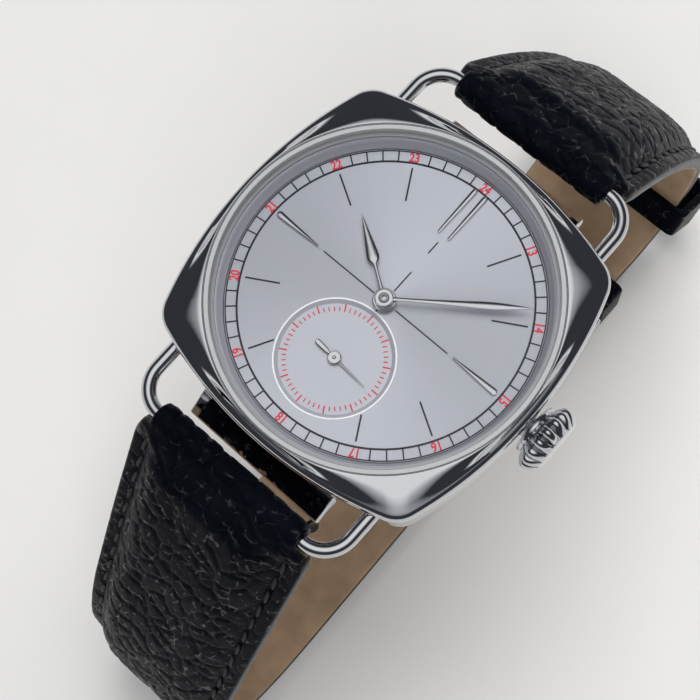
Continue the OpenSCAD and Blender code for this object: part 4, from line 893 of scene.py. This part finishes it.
def leather_half(strap):
    """The upper leather: wrapped round its bars, padded, with a sewing channel along both edges."""
    sizes = bpy.context.scene.watch_sizes
    tall, grain, depth = sizes.pad_height / MM, sizes.grain / MM, sizes.grain_depth / MM
    side, path, total, tipped = strap.side, strap.path, strap.total, strap.tipped
    columns = [2 * i / LEATHER_COLUMNS - 1 for i in range(LEATHER_COLUMNS + 1)]

    def from_bar(s):
        return s if tipped else min(s, total - s)

    def half_at(s):
        end_half = WIRE_WRAP_HALF if s < total / 2 else BUCKLE_WRAP_HALF
        full = half_width(strap, min(total, max(0, s)))
        return (end_half + (full - end_half) * ease(from_bar(s) / 1.3)) * tip_share(strap, s)

    def top(s, half, thin):
        # The leather comes down from the wrap's height, and the padding swells from just before the bar
        inside = from_bar(s)
        base = WRAP_R + (LEATHER_T - WRAP_R) * ease(inside / 3.0) - thin
        pad = 0.0
        if inside > -0.8:
            pad = (tall + (END_PAD - tall) * s / total) * ease((s + 0.8) / 5.5) * tip_share(strap, s)
        if not tipped and total - s < 6:
            pad *= ease((total - s) / 6)
        sewn = ease((inside - 1.0) / 2.5)

        def height(u):
            # Across, a flat strip with the channel, then a round shoulder; no strip where nothing is sewn
            inward = half * (1 - abs(u))
            rise = 1 - (1 - min(1.0, max(0.0, inward - 1.9) / max(0.1, half * 0.42))) ** 2.2
            rise += (1 - rise) * (1 - sewn) * ease(inward / 2.5)
            groove = -CHANNEL_DEPTH * exp(-((inward - CHANNEL) / 0.28) ** 2) * sewn
            crest = base - 0.3 * exp(-inward / 0.18) + pad * rise + groove
            bumps = depth * (pebble(u * half, s + 50 * side, grain) - 0.85) * min(1.0, 0.3 + inward / 1.2)
            return crest + bumps * (0.5 if inward < 2.2 and sewn > 0.5 else 0.85)

        return height

    def skin(stations, some, ends, at_end):
        rings = []
        for st in stations:
            half = half_at(st.s)
            thin = TAIL_THIN * (1 - ease(st.wrapped))
            inner = WRAP_ROOM * (1 - ease(((total - st.s if at_end else st.s) - 0.5) / 1.1)) - thin / 2
            rings.append(leather_ring(st, side, some, half, top(st.s, half, thin), inner, ends))
        loft(bm, rings)

    bm = bmesh.new()
    last = total if tipped else total - SLOT_REACH
    whole = [st for st in path if st.s <= last + 1e-6]
    skin(wrap_stations(path, False) + whole, columns, (1, 1), False)
    if not tipped:
        beside_slot = [st for st in path if st.s >= last - 1e-6] + wrap_stations(path, True)[::-1]
        for way, ends in ((-1, (1, 0)), (1, (0, 1))):
            skin(beside_slot, [u for u in columns if way * u > SLOT_SHARE], ends, True)
    made = piece(bm, "padded_strap_" + strap.hour, strap.body, ["leather", "edge"],
                 ["strap_" + strap.hour], sharp=70)
    if tipped:
        punch(made, strap)


def nearest(strap, s):
    """The station nearest to s."""
    return min(strap.path, key=lambda st: abs(st.s - s))


def outwards(st, side):
    """The strap's upward direction at a station, and the one along it."""
    a = radians(st.heading)
    return Vector((0, side * sin(a), cos(a))), Vector((0, side * cos(a), -sin(a)))


def punch(made, strap):
    """Cuts the buckle holes through a piece of the long half."""
    bm = bmesh.new()
    across = Vector((1, 0, 0))
    for k in range(HOLES):
        st = nearest(strap, strap.total - FIRST_HOLE - HOLE_PITCH * k)
        out = outwards(st, strap.side)[0]
        turn = Matrix((across, out.cross(across), out)).transposed().to_4x4()
        place = Matrix.Translation(Vector(strap_point(st, strap.side, 0, 0)) * MM)
        bmesh.ops.create_cone(bm, cap_ends=True, segments=32, radius1=HOLE_R * MM, radius2=HOLE_R * MM,
                              depth=8 * MM, matrix=place @ turn)
    mesh = as_mesh(bm, "hole_cutter")
    cutter = link("hole_cutter", mesh)
    cut = made.modifiers.new("holes", "BOOLEAN")
    cut.object = cutter
    cut.operation = "DIFFERENCE"
    cut.solver = "EXACT"
    bpy.context.view_layer.update()
    holed = bpy.data.meshes.new_from_object(made.evaluated_get(bpy.context.evaluated_depsgraph_get()))
    made.modifiers.clear()
    old = made.data
    made.data = holed
    holed.name = old.name + "_punched"
    bpy.data.meshes.remove(old)
    bpy.data.objects.remove(cutter)
    bpy.data.meshes.remove(mesh)


def lining_half(strap, first, last):
    """The lining under one half, from first to last along it, and the paint along both edges."""
    rings, bands = [], []
    for st in strap.path[::4]:
        if not first <= st.s <= last:
            continue
        half = half_width(strap, st.s) * tip_share(strap, st.s)
        edge = [(half, -0.03), (half, -0.6), (half - 0.12, -0.9), (half - 0.4, -1.0)]
        ring = [(-x, n) for x, n in edge] + [(half * u, -1.0) for u in (-0.6, -0.2, 0.2, 0.6)] + edge[::-1]
        rings.append([strap_point(st, strap.side, x, n * LINING_T) for x, n in ring])
        bands.append([strap_point(st, strap.side, half + x, n) for x, n in (
            (-0.25, -0.8 * LINING_T), (0.05, -0.6 * LINING_T), (0.1, 0.1), (0.05, 0.6), (-0.25, 0.72))])
    name = "lining_" + strap.hour
    bm = bmesh.new()
    loft(bm, rings)
    made = piece(bm, name, strap.body, ["lining"], [f"strap_{strap.hour}_lining"], sharp=60)
    if strap.tipped:
        punch(made, strap)
    bm = bmesh.new()
    for mirror in (1, -1):
        loft(bm, [[(mirror * x, y, z) for x, y, z in band] for band in bands])
    piece(bm, name + "_painted_edge", strap.body, ["edge"], sharp=80)


def stitches(strap, first, last):
    """A row of stitches beside each edge, each a slim bead lying in the channel."""
    stitch = bpy.context.scene.watch_sizes.stitch / MM
    size = Matrix.Diagonal((stitch / 2 * MM, 0.27 * MM, 0.2 * MM, 1))
    bm = bmesh.new()
    s = first
    while s < last:
        st = nearest(strap, s)
        half = half_width(strap, s) * tip_share(strap, s)
        out, along = outwards(st, strap.side)
        turn = Matrix((along, Vector((1, 0, 0)), out)).transposed().to_4x4()
        for across in (-1, 1):
            middle = Vector(strap_point(st, strap.side, across * (half - CHANNEL), LEATHER_T - 0.06))
            lean = Matrix.Rotation(radians(6 * across), 4, "Z")
            made = bmesh.ops.create_icosphere(bm, subdivisions=2, radius=1.0)["verts"]
            bmesh.ops.transform(bm, verts=made, matrix=Matrix.Translation(middle * MM) @ turn @ lean @ size)
        s += stitch + STITCH_GAP
    piece(bm, "stitching_" + strap.hour, strap.body, ["thread"], sharp=80)


def build_strap():
    for hour, side, heading, run in (("12", 1, HEADING_12, RUN_12), ("6", -1, HEADING_6, RUN_6)):
        path = walk(LUG_BAR, heading, run)
        total = path[-1].s
        strap = Half(hour, "strap_half_" + hour, side, path, total, hour == "6")
        leather_half(strap)
        lining_half(strap, 1.7, total if strap.tipped else total - 3.8)
        stitches(strap, 4.0, total - (4 if strap.tipped else 5))


def rounded_rectangle(x0, x1, y0, y1, r):
    """Points round a rectangle with rounded corners."""
    corners = ((x1 - r, y1 - r, 0), (x0 + r, y1 - r, 90), (x0 + r, y0 + r, 180), (x1 - r, y0 + r, 270))
    return [(x, y) for cx, cy, start in corners
            for x, y, _ in arc((cx, cy), r, [start + 90 * i / 8 for i in range(9)])]


KEEPER_W = 4.0
# (y, z) of the bar that the buckle hangs on, and of the middle of the curl that the free keeper rides
BUCKLE_AT = (24.4516, -44.5783)
CURL_AT = (32.4516, -32.5783)


def keeper_band(name, body, place, inner, outer):
    """A leather loop: its section goes out over one rounded edge, across, and back inside."""
    bm = bmesh.new()
    edge = 0.22
    steps = [(0.0, edge)] + [(edge * (1 - cos(radians(a))), edge * (1 - sin(radians(a))))
                             for a in (30, 60, 90)]
    across = steps + [(KEEPER_W * i / 10, 0.0) for i in range(1, 10)]
    across += [(KEEPER_W - w, d) for w, d in reversed(steps)]
    rows = [[place(x, y, w) for x, y in rounded_rectangle(
        outer[0] + d, outer[1] - d, outer[2] + d, outer[3] - d, 1.1 - d * 0.5)] for w, d in across]
    rows += [[place(x, y, w) for x, y in rounded_rectangle(
        inner[0] - d, inner[1] + d, inner[2] - d, inner[3] + d, 0.6 + d * 0.5)] for w, d in across[::-1]]
    loft(bm, rows, join_ends=True)
    piece(bm, name + "_leather_keeper", body, ["leather"], [name + "_keeper"], sharp=60)


def build_keepers():
    def flat(x, z, w):
        return (x, BUCKLE_AT[0] + WRAP_R + 0.3 + w, z)

    def bent(x, radius, w):
        a = radians(20 * w / KEEPER_W - 50)
        return (x, CURL_AT[0] + radius * cos(a), CURL_AT[1] + radius * sin(a))

    inner, outer = (-9.75, 9.75, -49.57, -43.43), (-10.85, 10.85, -50.67, -42.33)
    keeper_band("fixed", "strap_half_12", flat, inner, outer)
    keeper_band("free", "keeper", bent, (-10.25, 10.25, 10.85, 17.29), (-11.35, 11.35, 9.75, 18.39))


# The buckle

BUCKLE_TILT = 17.0
FRAME_HALF = 11.3
FRAME_LEN = 14.0
FRAME_BEND = 1.4
# How full the arm's section is near the bar, by its place along the arm
ARM_END = {1.2: 0.55, 1.12: 0.8, 0.95: 0.95}
# (place along, half width, top, underside) of the tongue
TONGUE = [(-0.9, 0.9, -0.78, -1.5), (-2.0, 0.88, -0.84, -1.56), (-6.0, 0.8, -0.98, -1.68),
          (-11.0, 0.7, -1.06, -1.8), (-12.6, 0.66, -1.08, -1.82), (-13.7, 0.6, -1.1, -1.78),
          (-14.2, 0.45, -1.14, -1.72), (-14.4, 0.2, -1.22, -1.6)]


def at_buckle(x, y, z):
    """A point of the buckle's own frame, which hangs at a tilt from the bar."""
    a = radians(BUCKLE_TILT)
    return (x, BUCKLE_AT[0] + y * cos(a) - z * sin(a),
            BUCKLE_AT[1] + y * sin(a) + z * cos(a))


def squarish(power):
    """Points round a unit section, between a circle (power 1) and a square (power 0)."""
    angles = [tau * (k + 0.5) / 32 for k in range(32)]
    return [tuple(copysign(abs(t) ** power, t) for t in (cos(a), sin(a))) for a in angles]


def build_buckle():
    """The tang buckle: a cast frame with soft edges, a turned bar and a forged tongue."""
    mid, bend_y = FRAME_HALF - 1.0, 2.4 - FRAME_LEN
    track = [(mid, y, 90.0) for y in (1.2, 1.12, 0.95, 0.6, 0.0, -4.0, -8.0, bend_y)]
    bend = arc((mid - FRAME_BEND, bend_y), FRAME_BEND, range(-10, -91, -10))
    track += [(x, y, 90 + a) for x, y, a in bend]
    track += [(x, 1.0 - FRAME_LEN, 0.0) for x in (6, 2.0, 1.3, 0.8, 0.0)]
    track += [(-x, y, 180.0 - h) for x, y, h in reversed(track[:-1])]
    rings = []
    for x, y, heading in track:
        a = radians(heading)
        full = ARM_END.get(round(y, 2), 1.0)
        notch = 0.22 * ease((1.6 - abs(x)) / 0.8) if y < 1.5 - FRAME_LEN else 0.0
        along = cos(a) * (-1 if x < 0 else 1)
        rings.append([at_buckle(x + wide * full * sin(a), y + wide * full * along,
                                tall * full + (notch if tall < 0 else 0)) for wide, tall in squarish(0.45)])
    bm = bmesh.new()
    loft(bm, rings)
    piece(bm, "buckle_loop", "buckle", ["steel"], ["buckle_frame"], sharp=50)
    bm = bmesh.new()
    end = FRAME_HALF - 0.3
    lathe(bm, [(0, -end), (0.6, -end), (0.75, 0.12 - end), (0.75, -8.9), (0.62, -8.7), (0.62, 8.7),
               (0.75, 8.9), (0.75, end - 0.12), (0.6, end), (0, end)], at_buckle(0, 0, 0), (1, 0, 0), 48)
    piece(bm, "turned_buckle_bar", "buckle", ["steel"], ["buckle_bar"], sharp=40)
    bm = bmesh.new()
    lathe(bm, [(0.8, -0.8), (0.9, -0.9), (1.38, -0.9), (1.5, -0.78), (1.5, 0.78), (1.38, 0.9), (0.9, 0.9),
               (0.8, 0.8)], at_buckle(0, 0, 0), (1, 0, 0), 48)
    loft(bm, [[at_buckle(wide * half, y, (high + low) / 2 + tall * (high - low) / 2)
               for wide, tall in squarish(0.6)] for y, half, high, low in TONGUE])
    piece(bm, "buckle_tang", "tongue", ["steel"], ["buckle_tongue"], sharp=50)


# The stage

TABLE_SIZE = 3.0
TABLE_GAP = 0.0002
# The photograph's camera: its focal length and width in pixels, its place in mm, its right and back
FOCAL_PX = 1412.25
PHOTO_PX = 700
SENSOR = 36
EYE = (30.04, -22.65, 136.25)
EYE_RIGHT = (0.7443, 0.6627, -0.0827)
EYE_BACK = (0.2211, -0.1276, 0.9669)
# Name, place in metres, side of the square, watts
LAMPS = [("key_softbox", (-0.1, 0.3, 0.68), 0.5, 4.4), ("fill_softbox", (0.32, -0.3, 0.6), 0.4, 1.5)]
# The world by height: a white horizon, a dark band that the case's corners mirror, a white overhead
SKY = [(0.0, 0xFFFFFF), (0.1, 0xF4F5F7), (0.26, 0x3E3F43), (0.8, 0x3A3B40), (0.9, 0xC0C1C5),
       (0.95, 0xFFFFFF)]


def build_stage():
    scene = bpy.context.scene
    bm = bmesh.new()
    bmesh.ops.create_grid(bm, x_segments=1, y_segments=1, size=TABLE_SIZE)
    bmesh.ops.translate(bm, verts=bm.verts, vec=(0, 0, FOOT_BOTTOM - TABLE_GAP))
    mesh = as_mesh(bm, "table_top")
    mesh.materials.append(finish("board"))
    table = link("table_top", mesh)

    eye = bpy.data.cameras.new("camera")
    eye.sensor_width = SENSOR
    eye.lens = SENSOR * FOCAL_PX / PHOTO_PX
    eye.clip_start = 0.005
    eye.clip_end = 20
    back = Vector(EYE_BACK).normalized()
    up = back.cross(Vector(EYE_RIGHT).normalized()).normalized()
    turn = Matrix((up.cross(back), up, back)).transposed().to_4x4()
    scene.camera = link("camera", eye)
    scene.camera.matrix_world = Matrix.Translation(Vector(EYE) * MM) @ turn

    for name, place, size, power in LAMPS:
        light = bpy.data.lights.new(name, "AREA")
        light.shape = "SQUARE"
        light.size = size
        light.energy = power
        lamp = link(name, light)
        lamp.location = place
        lamp.rotation_euler = (-Vector(place)).to_track_quat("-Z", "Y").to_euler()
        lamp.visible_glossy = False

    world = bpy.data.worlds.new("studio")
    world.use_nodes = True
    tree = world.node_tree
    place = add_node(tree, "TexCoord").outputs["Generated"]
    height = add_node(tree, "SeparateXYZ", {0: place}).outputs["Z"]
    sky = add_node(tree, "ValToRGB", {"Fac": height})
    stops = sky.color_ramp.elements
    for i, (place, code) in enumerate(SKY):
        stop = stops[i] if i < 2 else stops.new(place)
        stop.position = place
        stop.color = (*linear(code), 1)
    ground = tree.nodes["Background"]
    tree.links.new(sky.outputs["Color"], ground.inputs["Color"])
    ground.inputs["Strength"].default_value = 1.0
    scene.world = world
    scene.view_settings.view_transform = "Standard"


CAD_FINISHES = {
    "brushed": ["case_back", "movement_ring", "crown_tube"],
    "dial": ["dial"],
    "seconds": ["seconds_dial"],
    "nylon": ["crystal_gasket"],
    "rubber": ["case_back_gasket", "crown_gasket"],
    "nickel": ["main_plate", "barrel_bridge", "train_bridge", "balance_cock", "pallet_cock",
               "automatic_bridge"],
    "gilt": ["mainspring_barrel", "centre_wheel", "minute_wheel", "hour_wheel", "third_wheel",
             "fourth_wheel", "balance_wheel"],
    "hard": ["winding_stem", "winding_pinion", "sliding_pinion", "bridge_screws", "mainspring",
             "ratchet_wheel", "crown_wheel", "click", "cannon_pinion", "escape_wheel", "pallet_fork",
             "rotor_screw"],
    "blued": ["hairspring"],
    "ruby": ["plate_jewels"],
    "rotor": ["rotor"],
}


def dress_frame():
    for key, names in CAD_FINISHES.items():
        for name in names:
            for slot in NODES[name].material_slots:
                slot.material = finish(key)


# Operators and panel


class WATCH_OT_stage(bpy.types.Operator):
    """Adds the camera, the lamps and the table"""

    bl_idname = "watch.stage"
    bl_label = "Stage"

    def execute(self, context):
        build_stage()
        return {"FINISHED"}


class WATCH_OT_frame_finishes(bpy.types.Operator):
    """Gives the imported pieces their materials"""

    bl_idname = "watch.frame_finishes"
    bl_label = "Frame Finishes"

    def execute(self, context):
        dress_frame()
        return {"FINISHED"}


class WATCH_OT_case(bpy.types.Operator):
    """Builds the cushion case and its end blocks"""

    bl_idname = "watch.case"
    bl_label = "Case"

    def execute(self, context):
        build_case()
        return {"FINISHED"}


class WATCH_OT_lugs(bpy.types.Operator):
    """Builds the bent wires that hold the strap"""

    bl_idname = "watch.lugs"
    bl_label = "Wire Lugs"

    def execute(self, context):
        build_lugs()
        return {"FINISHED"}


class WATCH_OT_crystal(bpy.types.Operator):
    """Builds the domed crystal and the ring under it"""

    bl_idname = "watch.crystal"
    bl_label = "Crystal"

    def execute(self, context):
        build_crystal()
        return {"FINISHED"}


class WATCH_OT_crown(bpy.types.Operator):
    """Builds the fluted crown"""

    bl_idname = "watch.crown"
    bl_label = "Crown"

    def execute(self, context):
        build_crown()
        return {"FINISHED"}


class WATCH_OT_dial(bpy.types.Operator):
    """Prints the dial and cuts the edge of the seconds dial"""

    bl_idname = "watch.dial"
    bl_label = "Dial"

    def execute(self, context):
        build_dial()
        return {"FINISHED"}


class WATCH_OT_markers(bpy.types.Operator):
    """Sets the batons at 12, 3 and 9"""

    bl_idname = "watch.markers"
    bl_label = "Markers"

    def execute(self, context):
        build_markers()
        return {"FINISHED"}


class WATCH_OT_hands(bpy.types.Operator):
    """Builds the hour, minute and seconds hands"""

    bl_idname = "watch.hands"
    bl_label = "Hands"

    def execute(self, context):
        build_hands()
        return {"FINISHED"}


class WATCH_OT_strap(bpy.types.Operator):
    """Sews the padded leather halves and their linings"""

    bl_idname = "watch.strap"
    bl_label = "Strap"

    def execute(self, context):
        build_strap()
        return {"FINISHED"}


class WATCH_OT_keepers(bpy.types.Operator):
    """Builds the leather loops that hold the strap's end"""

    bl_idname = "watch.keepers"
    bl_label = "Keepers"

    def execute(self, context):
        build_keepers()
        return {"FINISHED"}


class WATCH_OT_buckle(bpy.types.Operator):
    """Builds the buckle, its bar and its tongue"""

    bl_idname = "watch.buckle"
    bl_label = "Buckle"

    def execute(self, context):
        build_buckle()
        return {"FINISHED"}


OPERATORS = (
    WATCH_OT_stage, WATCH_OT_frame_finishes, WATCH_OT_case, WATCH_OT_lugs, WATCH_OT_crystal, WATCH_OT_crown,
    WATCH_OT_dial, WATCH_OT_markers, WATCH_OT_hands, WATCH_OT_strap, WATCH_OT_keepers, WATCH_OT_buckle,
)


class WATCH_PT_pieces(bpy.types.Panel):
    """Lists the builders of the watch's pieces."""

    bl_label = "Watch"
    bl_idname = "WATCH_PT_pieces"
    bl_space_type = "VIEW_3D"
    bl_region_type = "UI"
    bl_category = "Watch"

    def draw(self, context):
        for group in (context.scene.watch_sizes, context.scene.watch_colours):
            for name in type(group).__annotations__:
                self.layout.prop(group, name)
        for maker in OPERATORS:
            self.layout.operator(maker.bl_idname)


CLASSES = [WatchSizes, WatchColours, *OPERATORS, WATCH_PT_pieces]


def register():
    for cls in CLASSES:
        bpy.utils.register_class(cls)
    bpy.types.Scene.watch_sizes = bpy.props.PointerProperty(type=WatchSizes)
    bpy.types.Scene.watch_colours = bpy.props.PointerProperty(type=WatchColours)


def unregister():
    del bpy.types.Scene.watch_colours
    del bpy.types.Scene.watch_sizes
    for cls in reversed(CLASSES):
        bpy.utils.unregister_class(cls)


def main():
    register()
    bpy.ops.watch.stage()
    bpy.ops.watch.frame_finishes()
    bpy.ops.watch.case()
    bpy.ops.watch.lugs()
    bpy.ops.watch.crystal()
    bpy.ops.watch.crown()
    bpy.ops.watch.dial()
    bpy.ops.watch.markers()
    bpy.ops.watch.hands()
    bpy.ops.watch.strap()
    bpy.ops.watch.keepers()
    bpy.ops.watch.buckle()


if __name__ == "__main__":
    main()
